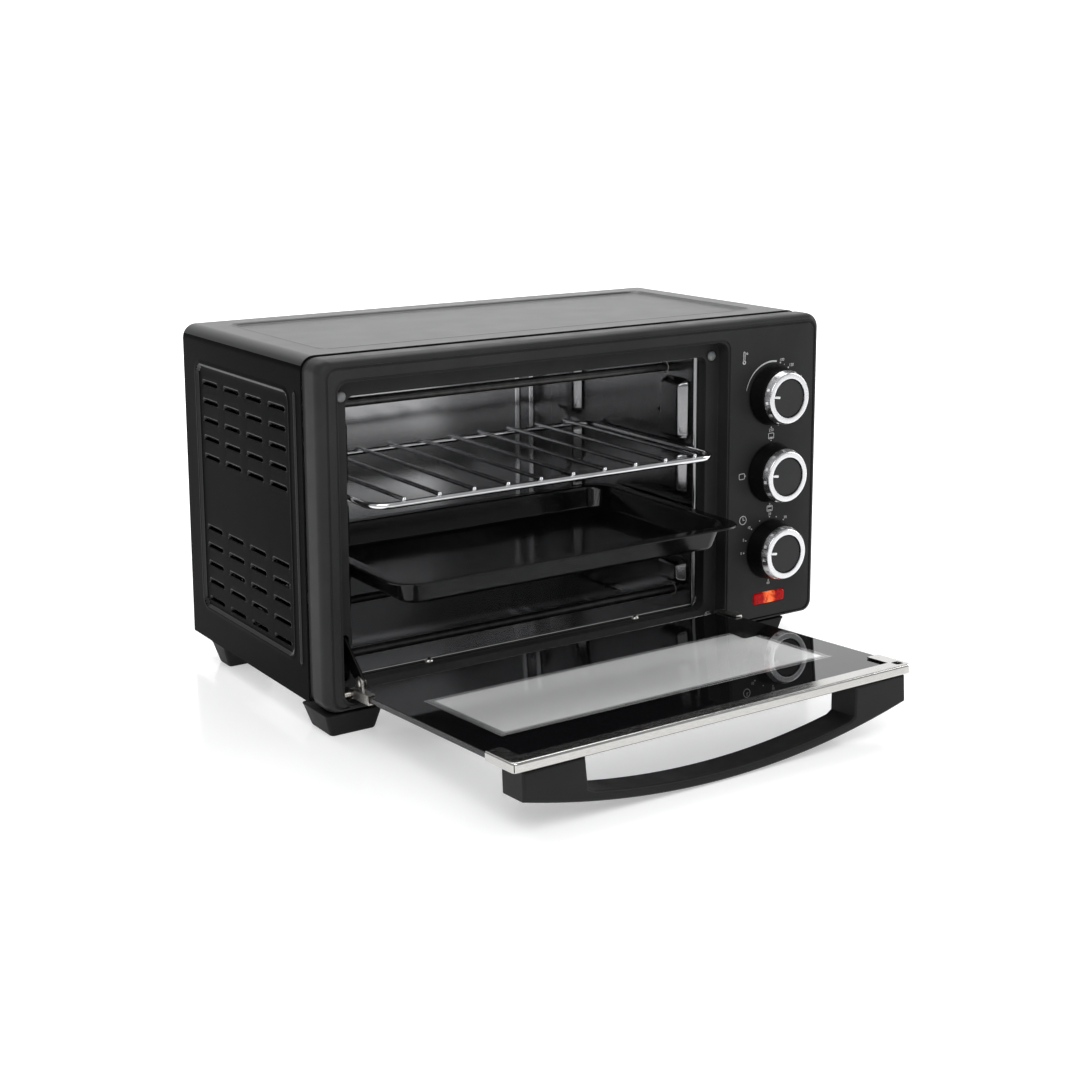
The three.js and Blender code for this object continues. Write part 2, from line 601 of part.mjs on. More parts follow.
// The switch behind each knob: a body with a hole for its shaft.
function controlBody(z, halfWidth, halfHeight, back) {
  const front = FRAME.front + FRAME.skin + GAP;
  const block = prismY(roundRect(KNOB.x - halfWidth, z - halfHeight, KNOB.x + halfWidth, z + halfHeight, 3), front, back);
  return block.subtract(cylinderY(3.3, KNOB.x, z, front - 1, -9.5, 14));
}

function indicatorLens() {
  const half = LENS.width / 2;
  const face = (inset) => roundRect(LENS.x - half + inset, LENS.z - LENS.height / 2 + inset,
    LENS.x + half - inset, LENS.z + LENS.height / 2 - inset, 2);
  return prismY(face(0), -26.6, -22.5).add(prismY(face(0.8), -27.2, -26));
}

function indicatorLamp() {
  return box(LENS.x - 12, LENS.x + 12, -22.2, -8, LENS.z - 4, LENS.z + 4);
}

// ---------------------------------------------------------------- underside and supply

const FRONT_FEET = [[0, 42], [349, 391]];
const REAR_FEET = [[3, 41], [351, 389]];

// A tapered foot with a stud up to the base plate. x0 and x1 are its top, from the body's left side.
function foot([x0, x1], y0, y1, top) {
  const left = x0 - BODY.halfWidth;
  const right = x1 - BODY.halfWidth;
  const block = loft([
    { x0: left + 5, x1: right - 5, y0: y0 + 3, y1: y1 - 5, radius: 3, z: FLOOR_LEVEL },
    { x0: left, x1: right, y0, y1, radius: 2, z: top },
  ]);
  return block.add(cylinderZ(5, (left + right) / 2, y1 - 6.5, top - 1, -GAP, 14));
}

function cordGland() {
  const profile = [[3.6, 184], [5.8, 184], [5.8, 186], [8, 186], [8, 187.2], [6, 187.2], [6, 188.8], [9, 188.8],
    [9, 190.5], [6.5, 191], [5, 198], [3.6, 198]];
  return turnedY([...profile, profile[0]], 12).translate([GLAND.x, 0, GLAND.z]);
}

function terminalBlock() {
  return box(GLAND.x - 24, GLAND.x + 12, 138, 156, SHEET + GAP, 16).add(box(GLAND.x - 18, GLAND.x + 6, 141, 153, 15, 20));
}

// ---------------------------------------------------------------- finishes and assembly

function finish(color, roughness, metalness, extra = {}) {
  return new THREE.MeshStandardMaterial({ color, roughness, metalness, ...extra });
}

const FINISH = {
  satinBlack: finish(0x2b2a2a, 0.4, 0.2),
  galvanised: finish(0xa9acae, 0.35, 0.9),
  enamel: finish(0x1b1b1d, 0.2, 0.1),
  steel: finish(0xb9b4ac, 0.3, 1),
  chrome: finish(0xe4e4e4, 0.08, 1),
  blackPlastic: finish(0x1c1c1c, 0.55, 0),
  rod: finish(0x3a3533, 0.45, 0.7),
  ceramic: finish(0xe6e0d4, 0.6, 0),
  rubber: finish(0x9a9a96, 0.6, 0),
  glass: finish(0x30383a, 0.03, 0, { transparent: true, opacity: 0.4 }),
  redLens: finish(0xc8102a, 0.1, 0),
  darkSteel: finish(0x161616, 0.4, 0.6),
};

const oven = new THREE.Group();

function add(name, body, material, parent = oven) {
  const mesh = new THREE.Mesh(toGeometry(body), material);
  mesh.name = name;
  parent.add(mesh);
}

add('outer_cover', outerCover(), FINISH.satinBlack);
add('rear_panel', rearPanel(), FINISH.satinBlack);
add('base_plate', basePlate(), FINISH.galvanised);
add('front_frame', frontFrame(), FINISH.satinBlack);
add('door_bumper_left', bumper(-1), FINISH.rubber);
add('door_bumper_right', bumper(1), FINISH.rubber);

add('cavity_left_wall', cavityLeftWall(), FINISH.enamel);
add('cavity_right_wall', cavityRightWall(), FINISH.enamel);
add('cavity_ceiling', cavityCeiling(), FINISH.galvanised);
add('cavity_rear_wall', cavityRearWall(), FINISH.galvanised);
add('cavity_floor', cavityFloor(), FINISH.enamel);

for (const [place, yz] of Object.entries(ROD_PLACES)) {
  add(`heating_element_${place}`, heatingElement(yz), FINISH.rod);
  add(`insulator_${place}_left`, insulator(-1, yz), FINISH.ceramic);
  add(`insulator_${place}_right`, insulator(1, yz), FINISH.ceramic);
}

add('wire_rack', wireRack(), FINISH.chrome);
add('baking_tray', bakingTray(), FINISH.enamel);

// The door's pieces are drawn closed, then turned down about the hinge axis.
const door = new THREE.Group();
door.position.set(0, HINGE.y, HINGE.z);
door.rotation.x = THREE.MathUtils.degToRad(DOOR.openAngle);
oven.add(door);
const closedPlace = new THREE.Group();
closedPlace.position.set(0, -HINGE.y, -HINGE.z);
door.add(closedPlace);

add('door_glass', doorGlass(), FINISH.glass, closedPlace);
add('door_trim_channel', doorTrimChannel(), FINISH.chrome, closedPlace);
add('door_handle', doorHandle(), FINISH.blackPlastic, closedPlace);
add('hinge_bracket_left', hingeBracket(true), FINISH.steel, closedPlace);
add('hinge_bracket_right', mirrorAbout(hingeBracket(false), DOOR_X), FINISH.steel, closedPlace);
add('link_rivet_left', rivetLeft(), FINISH.steel, closedPlace);

add('link_arm_left', linkArmLeft(), FINISH.darkSteel);
add('door_spring_left', doorSpringLeft(), FINISH.steel);

const CONTROLS = [
  { name: 'thermostat', halfWidth: 19, halfHeight: 16, back: 2 },
  { name: 'mode', halfWidth: 20, halfHeight: 20, back: 6 },
  { name: 'timer', halfWidth: 24, halfHeight: 22, back: 14 },
];
CONTROLS.forEach(({ name, halfWidth, halfHeight, back }, i) => {
  const z = KNOB.heights[i];
  add(`${name}_knob`, knobBody(z), FINISH.blackPlastic);
  add(`${name}_knob_ring`, knobRing(z), FINISH.chrome);
  add(`${name}_shaft`, controlShaft(z), FINISH.steel);
  add(`${name}_control`, controlBody(z, halfWidth, halfHeight, back), FINISH.galvanised);
});
add('indicator_lens', indicatorLens(), FINISH.redLens);
add('indicator_lamp', indicatorLamp(), FINISH.ceramic);

const FOOT_TOP = FRAME.bottom - GAP;
add('foot_front_left', foot(FRONT_FEET[0], -25, 12, FOOT_TOP), FINISH.blackPlastic);
add('foot_front_right', foot(FRONT_FEET[1], -25, 12, FOOT_TOP), FINISH.blackPlastic);
add('foot_rear_left', foot(REAR_FEET[0], 143, 168, -2), FINISH.blackPlastic);
add('foot_rear_right', foot(REAR_FEET[1], 143, 168, -2), FINISH.blackPlastic);

add('cord_gland', cordGland(), FINISH.blackPlastic);
add('terminal_block', terminalBlock(), FINISH.ceramic);
let screwNumber = 0;
for (const x of [-REAR.screwX, REAR.screwX]) {
  for (const z of REAR.screwZ) {
    screwNumber += 1;
    add(`rear_screw_${screwNumber}`, rearScrew(x, z), FINISH.steel);
  }
}

// Origin: the middle of the whole object in plan, at the floor that the feet stand on.
oven.updateMatrixWorld(true);
const bounds = new THREE.Box3().setFromObject(oven, true);
const middle = bounds.getCenter(new THREE.Vector3());
oven.position.set(-middle.x, -middle.y, -bounds.min.z);

export default oven;
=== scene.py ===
"""A compact countertop oven with its glass door open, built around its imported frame.

Lengths are written in millimetres. x runs from the body's middle to the right, y runs back from the
cover's front edge and z runs up from the cover's bottom edge. Pieces of the door are drawn closed and
then turned down about the door's hinge.
"""

import json
import math

import bmesh
import bpy
from mathutils import Matrix, Vector


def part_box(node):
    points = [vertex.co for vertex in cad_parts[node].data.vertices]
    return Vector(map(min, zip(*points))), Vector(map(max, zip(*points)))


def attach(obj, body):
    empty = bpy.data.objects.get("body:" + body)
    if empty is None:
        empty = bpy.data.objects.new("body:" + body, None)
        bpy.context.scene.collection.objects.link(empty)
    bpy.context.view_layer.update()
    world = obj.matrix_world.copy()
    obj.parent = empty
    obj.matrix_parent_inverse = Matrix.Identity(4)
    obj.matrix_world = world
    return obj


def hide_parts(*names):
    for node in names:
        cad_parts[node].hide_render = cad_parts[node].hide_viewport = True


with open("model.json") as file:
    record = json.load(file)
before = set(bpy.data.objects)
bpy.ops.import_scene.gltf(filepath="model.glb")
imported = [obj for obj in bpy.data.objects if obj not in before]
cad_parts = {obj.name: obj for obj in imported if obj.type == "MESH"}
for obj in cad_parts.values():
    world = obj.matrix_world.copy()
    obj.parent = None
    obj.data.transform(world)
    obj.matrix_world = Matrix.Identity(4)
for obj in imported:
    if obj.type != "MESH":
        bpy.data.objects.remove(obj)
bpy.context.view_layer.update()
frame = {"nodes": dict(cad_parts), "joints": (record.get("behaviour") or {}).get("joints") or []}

MM = 0.001
COVER_LOW, COVER_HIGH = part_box("outer_cover")
ORIGIN = Vector(((COVER_LOW.x + COVER_HIGH.x) / 2, COVER_LOW.y, COVER_LOW.z))
HALF_WIDTH = (COVER_HIGH.x - COVER_LOW.x) / 2 / MM
DEPTH = (COVER_HIGH.y - COVER_LOW.y) / MM
HEIGHT = (COVER_HIGH.z - COVER_LOW.z) / MM
DOOR_JOINT = next(joint for joint in frame["joints"] if joint["name"] == "door_hinge")
DOOR_ANGLE = DOOR_JOINT["range_deg"][1]


def at(x, y, z):
    """A point given in this script's millimetres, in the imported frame."""
    return ORIGIN + Vector((x, y, z)) * MM


def local(point):
    """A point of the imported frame, as (x, y, z) in this script's millimetres."""
    return (Vector(point) - ORIGIN) / MM


def centre_of(node):
    low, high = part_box(node)
    return local((low + high) / 2)


HINGE = local(DOOR_JOINT["pos_m"])
DOOR_PLACE = (Matrix.Translation(at(*HINGE)) @ Matrix.Rotation(math.radians(DOOR_ANGLE), 4, "X")
              @ Matrix.Translation(-at(*HINGE)))
DOOR_X = HINGE.x
FLOOR_Z = local(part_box("foot_front_left")[0]).z

# ------------------------------------------------------------------ dimensions of the visible pieces

RECESS = {"x0": DOOR_X - 159, "x1": DOOR_X + 159, "z0": 2.5, "z1": 214.8, "floor": -14}
OPENING = {"x0": DOOR_X - 147.5, "x1": DOOR_X + 147.5, "z0": 13, "z1": 203.5, "back": -5}
CAVITY = {"x0": DOOR_X - 144.5, "x1": DOOR_X + 144.5, "front": -4.6, "back": 184, "floor": 3.7, "top": 205}
BOSS_COLUMNS = ((2, 31), (138, 167))
BOSS_ROWS = ((27.6, 48), (52, 88.7), (97, 131.4), (138, 185.5))
GLASS = {"half": 154, "z0": 15, "z1": 207.2, "outer": -21.8, "inner": -17.8}
WINDOW = {"half": 126, "z0": 71, "z1": 153}
DOT_PITCH = {"X": 1.8, "Z": 3.0}
DOT_BAND = 5.8
KNOB_HEIGHTS = {name: centre_of(f"{name}_knob").z for name in ("thermostat", "mode", "timer")}
KNOB_X = centre_of("thermostat_knob").x
POINTER_ANGLE = -8
MARK_RADIUS = 24.7
PANEL_Y = -26  # the front frame's face

COVER_CORNER = 10
PRESSED_SIDE = (19, 169, 25, 205)  # the side panel's pressing, as y0, y1, z0, z1
PRESSED_TOP = (-183, 183, 21, 171)  # the top panel's pressing, as x0, x1, y0, y1
PRESSED_STEPS = (-3.2, -2, -0.8, 0, 0.8, 2, 4, 6, 9)
BEAD_Y = 9
LOUVRE_COLUMNS = [40 + 36.3 * i for i in range(4)]
LOUVRE_ROWS = [top - 13.37 * i for top in (191.5, 85.5) for i in range(5)]
LOUVRE_HALF = 13
LOUVRE_DROP = 1.6  # from a louvre's middle down to its slot
LOUVRE_DEPTH = 2.2
SLOT_HIGH = 1.3
SCOOP_HIGH = 3.9

REAR_MARGIN = 1.3
REAR_CORNER = 8.7
VENTS = [(x, 196 - 12 * row) for x in (-120, 0, 120) for row in range(6)]
VENT_HALF_WIDTH = 23.2
VENT_HALF_HEIGHT = 1.3

BOSS_DEPTH = 7
BOSS_SLOPE = 4.4
SHEET_HALF = 148.5  # half the width of the ceiling and of the rear wall
REAR_RIBS = (74, 87.5)
PEEP_HOLE = {"y": 34.6, "z": 158, "radius": 3.6}
RODS = ("upper_front", "upper_rear", "lower_front", "lower_rear")
RACK_WIRES = 10
RACK_PITCH = 26.5

HANDLE = {"half": 149, "grip_half": 107, "post_inner": 105.5, "z0": 184.5, "z1": 208}
BRACKET_THICK = 1.2
LINK_LENGTH = 60
LINK_ANGLE = math.radians(39.4)
LINK_END = 4.2  # the radius of the link arm's round ends

CAMERA = {"place": (-694.1, -1001.9, 396.8), "yaw": 33.67, "pitch": 10.39, "roll": -0.21, "lens": 58.57,
          "shift": -0.12}

# ------------------------------------------------------------------ materials


class Shader:
    """One material's nodes, placed by the object's own coordinates."""

    def __init__(self, name):
        self.material = bpy.data.materials.new(name)
        self.material.use_nodes = True
        self.tree = self.material.node_tree
        self.main = self.tree.nodes["Principled BSDF"]
        self.coordinates = self.add("ShaderNodeTexCoord").outputs["Object"]

    def add(self, kind, **settings):
        node = self.tree.nodes.new(kind)
        for name, value in settings.items():
            setattr(node, name, value)
        return node

    def join(self, source, target):
        self.tree.links.new(source, target)

    def set(self, **values):
        for name, value in values.items():
            self.main.inputs[name.replace("_", " ")].default_value = value

    def stretched(self, scale):
        node = self.add("ShaderNodeMapping")
        node.inputs["Scale"].default_value = scale
        self.join(self.coordinates, node.inputs["Vector"])
        return node.outputs["Vector"]

    def noise(self, size_mm, detail=3, stretch=(1, 1, 1)):
        """Soft noise whose blotches are about size_mm across."""
        node = self.add("ShaderNodeTexNoise")
        node.inputs["Scale"].default_value = 1
        node.inputs["Detail"].default_value = detail
        per_metre = 1 / (size_mm * MM)
        self.join(self.stretched([per_metre * s for s in stretch]), node.inputs["Vector"])
        return node.outputs["Fac"]

    def spread(self, value, low, high, start=0.3, end=0.7):
        node = self.add("ShaderNodeMapRange")
        node.inputs["From Min"].default_value = start
        node.inputs["From Max"].default_value = end
        node.inputs["To Min"].default_value = low
        node.inputs["To Max"].default_value = high
        self.join(value, node.inputs["Value"])
        return node.outputs["Result"]

    def colours(self, value, dark, light, start=0.35, end=0.65):
        node = self.add("ShaderNodeValToRGB")
        first, last = node.color_ramp.elements
        first.position, last.position = start, end
        first.color, last.color = (*dark, 1), (*light, 1)
        self.join(value, node.inputs["Fac"])
        return node.outputs["Color"]

    def math(self, operation, first, second=None):
        node = self.add("ShaderNodeMath", operation=operation)
        for socket, value in zip(node.inputs, (first, second)):
            if isinstance(value, (int, float)):
                socket.default_value = value
            elif value is not None:
                self.join(value, socket)
        return node.outputs["Value"]

    def mix(self, share, first, second):
        node = self.add("ShaderNodeMix", data_type="RGBA")
        self.join(share, node.inputs["Factor"])
        for socket, value in ((node.inputs[6], first), (node.inputs[7], second)):
            if isinstance(value, tuple):
                socket.default_value = (*value, 1)
            else:
                self.join(value, socket)
        return node.outputs[2]

    def bump(self, height, depth_mm, strength=1.0):
        node = self.add("ShaderNodeBump")
        node.inputs["Distance"].default_value = depth_mm * MM
        node.inputs["Strength"].default_value = strength
        self.join(height, node.inputs["Height"])
        if self.main.inputs["Normal"].is_linked:
            self.join(self.main.inputs["Normal"].links[0].from_socket, node.inputs["Normal"])
        self.join(node.outputs["Normal"], self.main.inputs["Normal"])

    def colour(self, source):
        self.join(source, self.main.inputs["Base Color"])

    def roughness(self, source):
        self.join(source, self.main.inputs["Roughness"])


def moulded_plastic(name, dark, light, rough, grain_mm=0.5, depth_mm=0.02, shine=1.35):
    """Moulded plastic with a fine texture; shine is its refractive index."""
    shader = Shader(name)
    shader.set(IOR=shine)
    shader.colour(shader.colours(shader.noise(35), dark, light))
    shader.roughness(shader.spread(shader.noise(18), rough - 0.05, rough + 0.06))
    shader.bump(shader.noise(grain_mm, 2), depth_mm)
    return shader.material


def painted_sheet(name, dark, light, rough, shine):
    """Satin paint: a fine orange peel, and a little unevenness where it was sprayed."""
    shader = Shader(name)
    shader.set(IOR=shine)
    shader.colour(shader.colours(shader.noise(60), dark, light))
    shader.roughness(shader.spread(shader.noise(25), rough - 0.01, rough + 0.015))
    shader.bump(shader.noise(0.8, 2), 0.01)
    return shader.material


def gloss_enamel(name):
    """Baked black enamel: glossy, with a slight ripple and fine pale specks."""
    shader = Shader(name)
    shader.set(IOR=1.36)
    specks = shader.add("ShaderNodeTexVoronoi")
    specks.inputs["Scale"].default_value = 1 / (2.4 * MM)
    shader.join(shader.coordinates, specks.inputs["Vector"])
    fleck = shader.spread(specks.outputs["Distance"], 1, 0, 0.05, 0.12)
    base = shader.colours(shader.noise(40), (0.003, 0.003, 0.0033), (0.006, 0.006, 0.0062))
    shader.colour(shader.mix(fleck, base, (0.016, 0.016, 0.017)))
    shader.roughness(shader.spread(shader.noise(14), 0.09, 0.15))
    shader.bump(shader.noise(5, 2), 0.02)
    return shader.material


def galvanised(name, dark, light, rough, grain_mm):
    """Coated sheet metal: faint spangle, and a fine rolled grain of the given depth."""
    shader = Shader(name)
    shader.set(Metallic=1.0)
    cells = shader.add("ShaderNodeTexVoronoi")
    cells.inputs["Scale"].default_value = 1 / (1.6 * MM)
    shader.join(shader.coordinates, cells.inputs["Vector"])
    spangle = shader.spread(cells.outputs["Color"], 0.75, 1, 0.2, 0.8)
    tone = shader.math("MULTIPLY", shader.noise(0.9, 4), spangle)
    shader.colour(shader.colours(tone, dark, light, 0, 1))
    shader.roughness(shader.spread(shader.noise(1.2, 4), rough - 0.01, rough + 0.02))
    shader.bump(shader.noise(0.7, 3), grain_mm)
    return shader.material


def brushed_metal(name, dark, light, rough, stretch=(0.04, 1, 1)):
    """Metal brushed along the axis that stretch makes long."""
    shader = Shader(name)
    shader.set(Metallic=1.0)
    lines = shader.noise(0.25, 3, stretch)
    shader.colour(shader.colours(lines, dark, light))
    shader.roughness(shader.spread(lines, rough - 0.06, rough + 0.1))
    shader.bump(lines, 0.006)
    return shader.material


def bright_plating(name, rough):
    """Plated steel: a mirror with faint smears."""
    shader = Shader(name)
    shader.set(Metallic=1.0)
    shader.colour(shader.colours(shader.noise(12), (0.72, 0.72, 0.73), (0.84, 0.84, 0.85)))
    shader.roughness(shader.spread(shader.noise(7, 4), rough, rough + 0.09))
    shader.bump(shader.noise(1.5, 2), 0.004)
    return shader.material


def heater_tube(name):
    """Oxidised steel tube, mottled brown and grey."""
    shader = Shader(name)
    shader.set(Metallic=0.8)
    shader.colour(shader.colours(shader.noise(6, 5), (0.04, 0.039, 0.038), (0.1, 0.098, 0.096), 0.1, 0.9))
    shader.roughness(shader.spread(shader.noise(3, 4), 0.3, 0.42))
    shader.bump(shader.noise(0.5, 3), 0.02)
    return shader.material


def ceramic(name):
    """Unglazed ceramic, slightly mottled."""
    shader = Shader(name)
    shader.colour(shader.colours(shader.noise(1.5, 4), (0.62, 0.59, 0.52), (0.8, 0.77, 0.71)))
    shader.roughness(shader.spread(shader.noise(2), 0.5, 0.7))
    shader.bump(shader.noise(0.4, 3), 0.03)
    return shader.material


def silicone(name):
    """Grey silicone rubber, a little translucent."""
    shader = Shader(name)
    shader.set(Subsurface_Weight=0.3, Subsurface_Scale=0.002, Specular_IOR_Level=0.4)
    shader.colour(shader.colours(shader.noise(2), (0.16, 0.16, 0.16), (0.24, 0.24, 0.235)))
    shader.roughness(shader.spread(shader.noise(1.2), 0.3, 0.45))
    shader.bump(shader.noise(0.5), 0.01)
    return shader.material


def printed_ink(name):
    """Pale screen-printed ink."""
    shader = Shader(name)
    shader.colour(shader.colours(shader.noise(0.6, 4), (0.5, 0.5, 0.5), (0.72, 0.72, 0.72)))
    shader.roughness(shader.spread(shader.noise(1), 0.45, 0.6))
    shader.bump(shader.noise(0.2), 0.004)
    return shader.material


def glowing_lens(name, centre, half_width):
    """A ribbed red lens, lit from behind at its middle."""
    shader = Shader(name)
    shader.set(Specular_IOR_Level=0.12)
    split = shader.add("ShaderNodeSeparateXYZ")
    shader.join(shader.coordinates, split.inputs["Vector"])
    across = shader.math("ABSOLUTE", shader.math("SUBTRACT", split.outputs["X"], centre.x))
    near = shader.spread(across, 1, 0, 0, half_width * 0.5)
    uneven = shader.spread(shader.noise(2.2, 4), 0.3, 1)
    glow = shader.math("MULTIPLY", near, uneven)
    shader.colour(shader.colours(uneven, (0.1, 0.0, 0.001), (0.35, 0.004, 0.004), 0.3, 0.9))
    shader.join(shader.colours(glow, (0.11, 0.0, 0.0), (1.0, 0.2, 0.05), 0.1, 0.8),
                shader.main.inputs["Emission Color"])
    shader.set(Emission_Strength=1.4)
    shader.roughness(shader.spread(shader.noise(2), 0.08, 0.2))
    shader.bump(shader.noise(2.2, 2, (1, 0.2, 0.2)), 0.3)
    return shader.material


def bordered_glass(name):
    """Clear glass with a black border fired on its inner face, which ends in rows of clear dots."""
    shader = Shader(name)
    shader.set(IOR=1.45)
    split = shader.add("ShaderNodeSeparateXYZ")
    shader.join(shader.coordinates, split.inputs["Vector"])
    low = at(DOOR_X - WINDOW["half"], 0, WINDOW["z0"])
    high = at(DOOR_X + WINDOW["half"], 0, WINDOW["z1"])
    sides = []
    for axis, first, last in (("X", low.x, high.x), ("Z", low.z, high.z)):
        before = shader.math("SUBTRACT", first, split.outputs[axis])
        after = shader.math("SUBTRACT", split.outputs[axis], last)
        sides.append(shader.math("MAXIMUM", before, after))
    outside = shader.math("MAXIMUM", *sides)  # how far outside the clear window, in metres
    cells = []
    for axis in "XZ":
        cell = shader.math("FRACT", shader.math("DIVIDE", split.outputs[axis], DOT_PITCH[axis] * MM))
        cells.append(shader.math("POWER", shader.math("SUBTRACT", cell, 0.5), 2))
    from_dot = shader.math("SQRT", shader.math("ADD", *cells))
    gap_size = shader.spread(outside, 0.36, 0.22, 0, DOT_BAND * MM)
    printed = shader.math("GREATER_THAN", from_dot, gap_size)
    beyond = shader.math("GREATER_THAN", outside, DOT_BAND * MM)
    border = shader.math("MAXIMUM", printed, beyond)
    framed_border = shader.math("MULTIPLY", border, shader.math("GREATER_THAN", outside, 0))
    printed_face = shader.math("GREATER_THAN", split.outputs["Y"], at(0, GLASS["inner"] - 0.5, 0).y)
    black = shader.math("MULTIPLY", framed_border, printed_face)
    shader.colour(shader.mix(black, (0.985, 0.992, 0.99), (0.004, 0.004, 0.0045)))
    shader.join(shader.math("SUBTRACT", 1, black), shader.main.inputs["Transmission Weight"])
    shader.roughness(shader.spread(shader.noise(30, 4), 0.0, 0.008))
    return shader.material


BLACK_PAINT = painted_sheet("satin_black_paint", (0.0035, 0.0034, 0.0034), (0.0045, 0.0043, 0.0042),
                            0.33, 1.42)
# painted shade: a darker, less glossy copy of the black paint, for the flat of each side
SHADED_SIDE_PAINT = painted_sheet("satin_black_side_painted_shade", (0.0018, 0.0018, 0.0018), (0.0026, 0.0025, 0.0025),
                           0.3, 1.06)
FRAME_PLASTIC = moulded_plastic("satin_frame", (0.028, 0.028, 0.028), (0.033, 0.033, 0.033), 0.34, 0.6,
                                0.012, 1.16)
HANDLE_PLASTIC = moulded_plastic("matte_black_plastic", (0.009, 0.009, 0.009), (0.012, 0.012, 0.012), 0.5,
                                 shine=1.3)
KNOB_PLASTIC = moulded_plastic("knob_plastic", (0.003, 0.003, 0.003), (0.004, 0.004, 0.004), 0.42, 0.4,
                               shine=1.25)
DISC_PLASTIC = moulded_plastic("knob_face", (0.022, 0.022, 0.023), (0.026, 0.026, 0.027), 0.4, 0.3, shine=1.3)
FOOT_PLASTIC = moulded_plastic("foot_plastic", (0.007, 0.007, 0.007), (0.01, 0.01, 0.01), 0.55, 0.9,
                               0.04, 1.25)
ENAMEL = gloss_enamel("gloss_black_enamel")
GALVANISED = galvanised("galvanised_sheet", (0.48, 0.48, 0.49), (0.68, 0.68, 0.69), 0.21, 0.0008)
OVEN_SHEET = galvanised("oven_sheet", (0.24, 0.24, 0.245), (0.36, 0.36, 0.365), 0.18, 0.0004)
BRIGHT_STEEL = brushed_metal("bright_steel", (0.5, 0.48, 0.45), (0.66, 0.64, 0.6), 0.26)
DARK_STEEL = brushed_metal("dark_steel", (0.03, 0.03, 0.03), (0.07, 0.07, 0.07), 0.32)
PLATED_WIRE = bright_plating("plated_wire", 0.07)
PLATED_TRIM = brushed_metal("plated_trim", (0.5, 0.49, 0.47), (0.62, 0.61, 0.59), 0.16, (0.05, 1, 1))
RING_METAL = brushed_metal("ring_plating", (0.68, 0.68, 0.69), (0.84, 0.84, 0.85), 0.24, (1, 0.05, 1))
HEATER = heater_tube("heater_tube")
CERAMIC = ceramic("white_ceramic")
SILICONE = silicone("grey_silicone")
INK = printed_ink("pale_ink")
DOOR_GLASS = bordered_glass("door_glass")

# ------------------------------------------------------------------ mesh building


def linked(name, data):
    """A new object in the scene, holding a mesh, curve, light or camera."""
    piece = bpy.data.objects.new(name, data)
    bpy.context.scene.collection.objects.link(piece)
    return piece


def new_object(name, vertices, faces):
    mesh = bpy.data.meshes.new(name)
    mesh.from_pydata([tuple(v) for v in vertices], [], faces)
    return linked(name, mesh)


def mesh_of(name, curve):
    """The mesh that a curve makes; the curve's own object is removed."""
    holder = linked(name, curve)
    graph = bpy.context.evaluated_depsgraph_get()
    mesh = bpy.data.meshes.new_from_object(holder.evaluated_get(graph))
    bpy.data.objects.remove(holder)
    return mesh


def tidy_mesh(mesh):
    """Welds points that coincide, and turns the faces outwards."""
    work = bmesh.new()
    work.from_mesh(mesh)
    bmesh.ops.remove_doubles(work, verts=work.verts, dist=0.001 * MM)
    bmesh.ops.recalc_face_normals(work, faces=work.faces)
    work.to_mesh(mesh)
    work.free()


def apply_modifiers(piece):
    """Makes the piece's shown mesh its own mesh."""
    graph = bpy.context.evaluated_depsgraph_get()
    made = bpy.data.meshes.new_from_object(piece.evaluated_get(graph))
    piece.modifiers.clear()
    piece.data = made


def finish_piece(piece, material, body, slot, replaces=(), bevel=0.0, segments=2, angle=35, place=None):
    """Rounds the edges sharper than angle, smooths the rest, and fixes the piece to its body."""
    tidy_mesh(piece.data)
    if not piece.data.materials:
        piece.data.materials.append(material)
    if bevel:
        rounding = piece.modifiers.new("Bevel", "BEVEL")
        rounding.width = bevel * MM
        rounding.segments = segments
        rounding.limit_method = "ANGLE"
        rounding.angle_limit = math.radians(angle)
    apply_modifiers(piece)
    piece.data.shade_smooth()
    piece.data.set_sharp_from_angle(angle=math.radians(angle))
    weighted = piece.modifiers.new("WeightedNormal", "WEIGHTED_NORMAL")
    weighted.keep_sharp = True
    apply_modifiers(piece)
    if place is not None:
        piece.matrix_world = place
    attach(piece, body)
    if replaces:
        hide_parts(*replaces)
    return piece


def skin_faces(rings, count, closed, capped):
    faces = []
    for ring in range(rings if closed else rings - 1):
        low = ring * count
        high = (ring + 1) % rings * count
        for i in range(count):
            after = (i + 1) % count
            faces.append((low + i, low + after, high + after, high + i))
    if capped:
        faces.append(tuple(range(count)))
        faces.append(tuple(range((rings - 1) * count, rings * count)))
    return faces


def skin(name, rings, closed=False):
    """Joins rings of equal point counts into one closed surface."""
    points = [point for ring in rings for point in ring]
    return new_object(name, points, skin_faces(len(rings), len(rings[0]), closed, not closed))


def round_rect(x0, x1, z0, z1, radius, steps=6):
    """The outline of a round-cornered rectangle as (x, z) pairs."""
    corners = ((x1, z0, -1, 1, -90), (x1, z1, -1, -1, 0), (x0, z1, 1, -1, 90), (x0, z0, 1, 1, 180))
    outline = []
    for x, z, inward_x, inward_z, start in corners:
        for i in range(steps + 1):
            angle = math.radians(start + 90 * i / steps)
            outline.append((x + radius * (inward_x + math.cos(angle)),
                            z + radius * (inward_z + math.sin(angle))))
    return outline


def lathe(name, profile, centre, axis="Y", sides=64):
    """Turns a profile of (radius, distance along the axis) pairs about an axis through centre."""
    turn = {"X": Matrix.Rotation(math.radians(90), 3, "Y"), "Y": Matrix.Rotation(math.radians(-90), 3, "X"),
            "Z": Matrix.Identity(3)}[axis]
    rings = []
    for radius, along in profile:
        ring = []
        for i in range(sides):
            angle = 2 * math.pi * i / sides
            offset = turn @ Vector((radius * math.cos(angle), radius * math.sin(angle), along))
            ring.append(at(*(Vector(centre) + offset)))
        rings.append(ring)
    closed = profile[0][0] > 0 and profile[-1][0] > 0
    return skin(name, rings, closed)


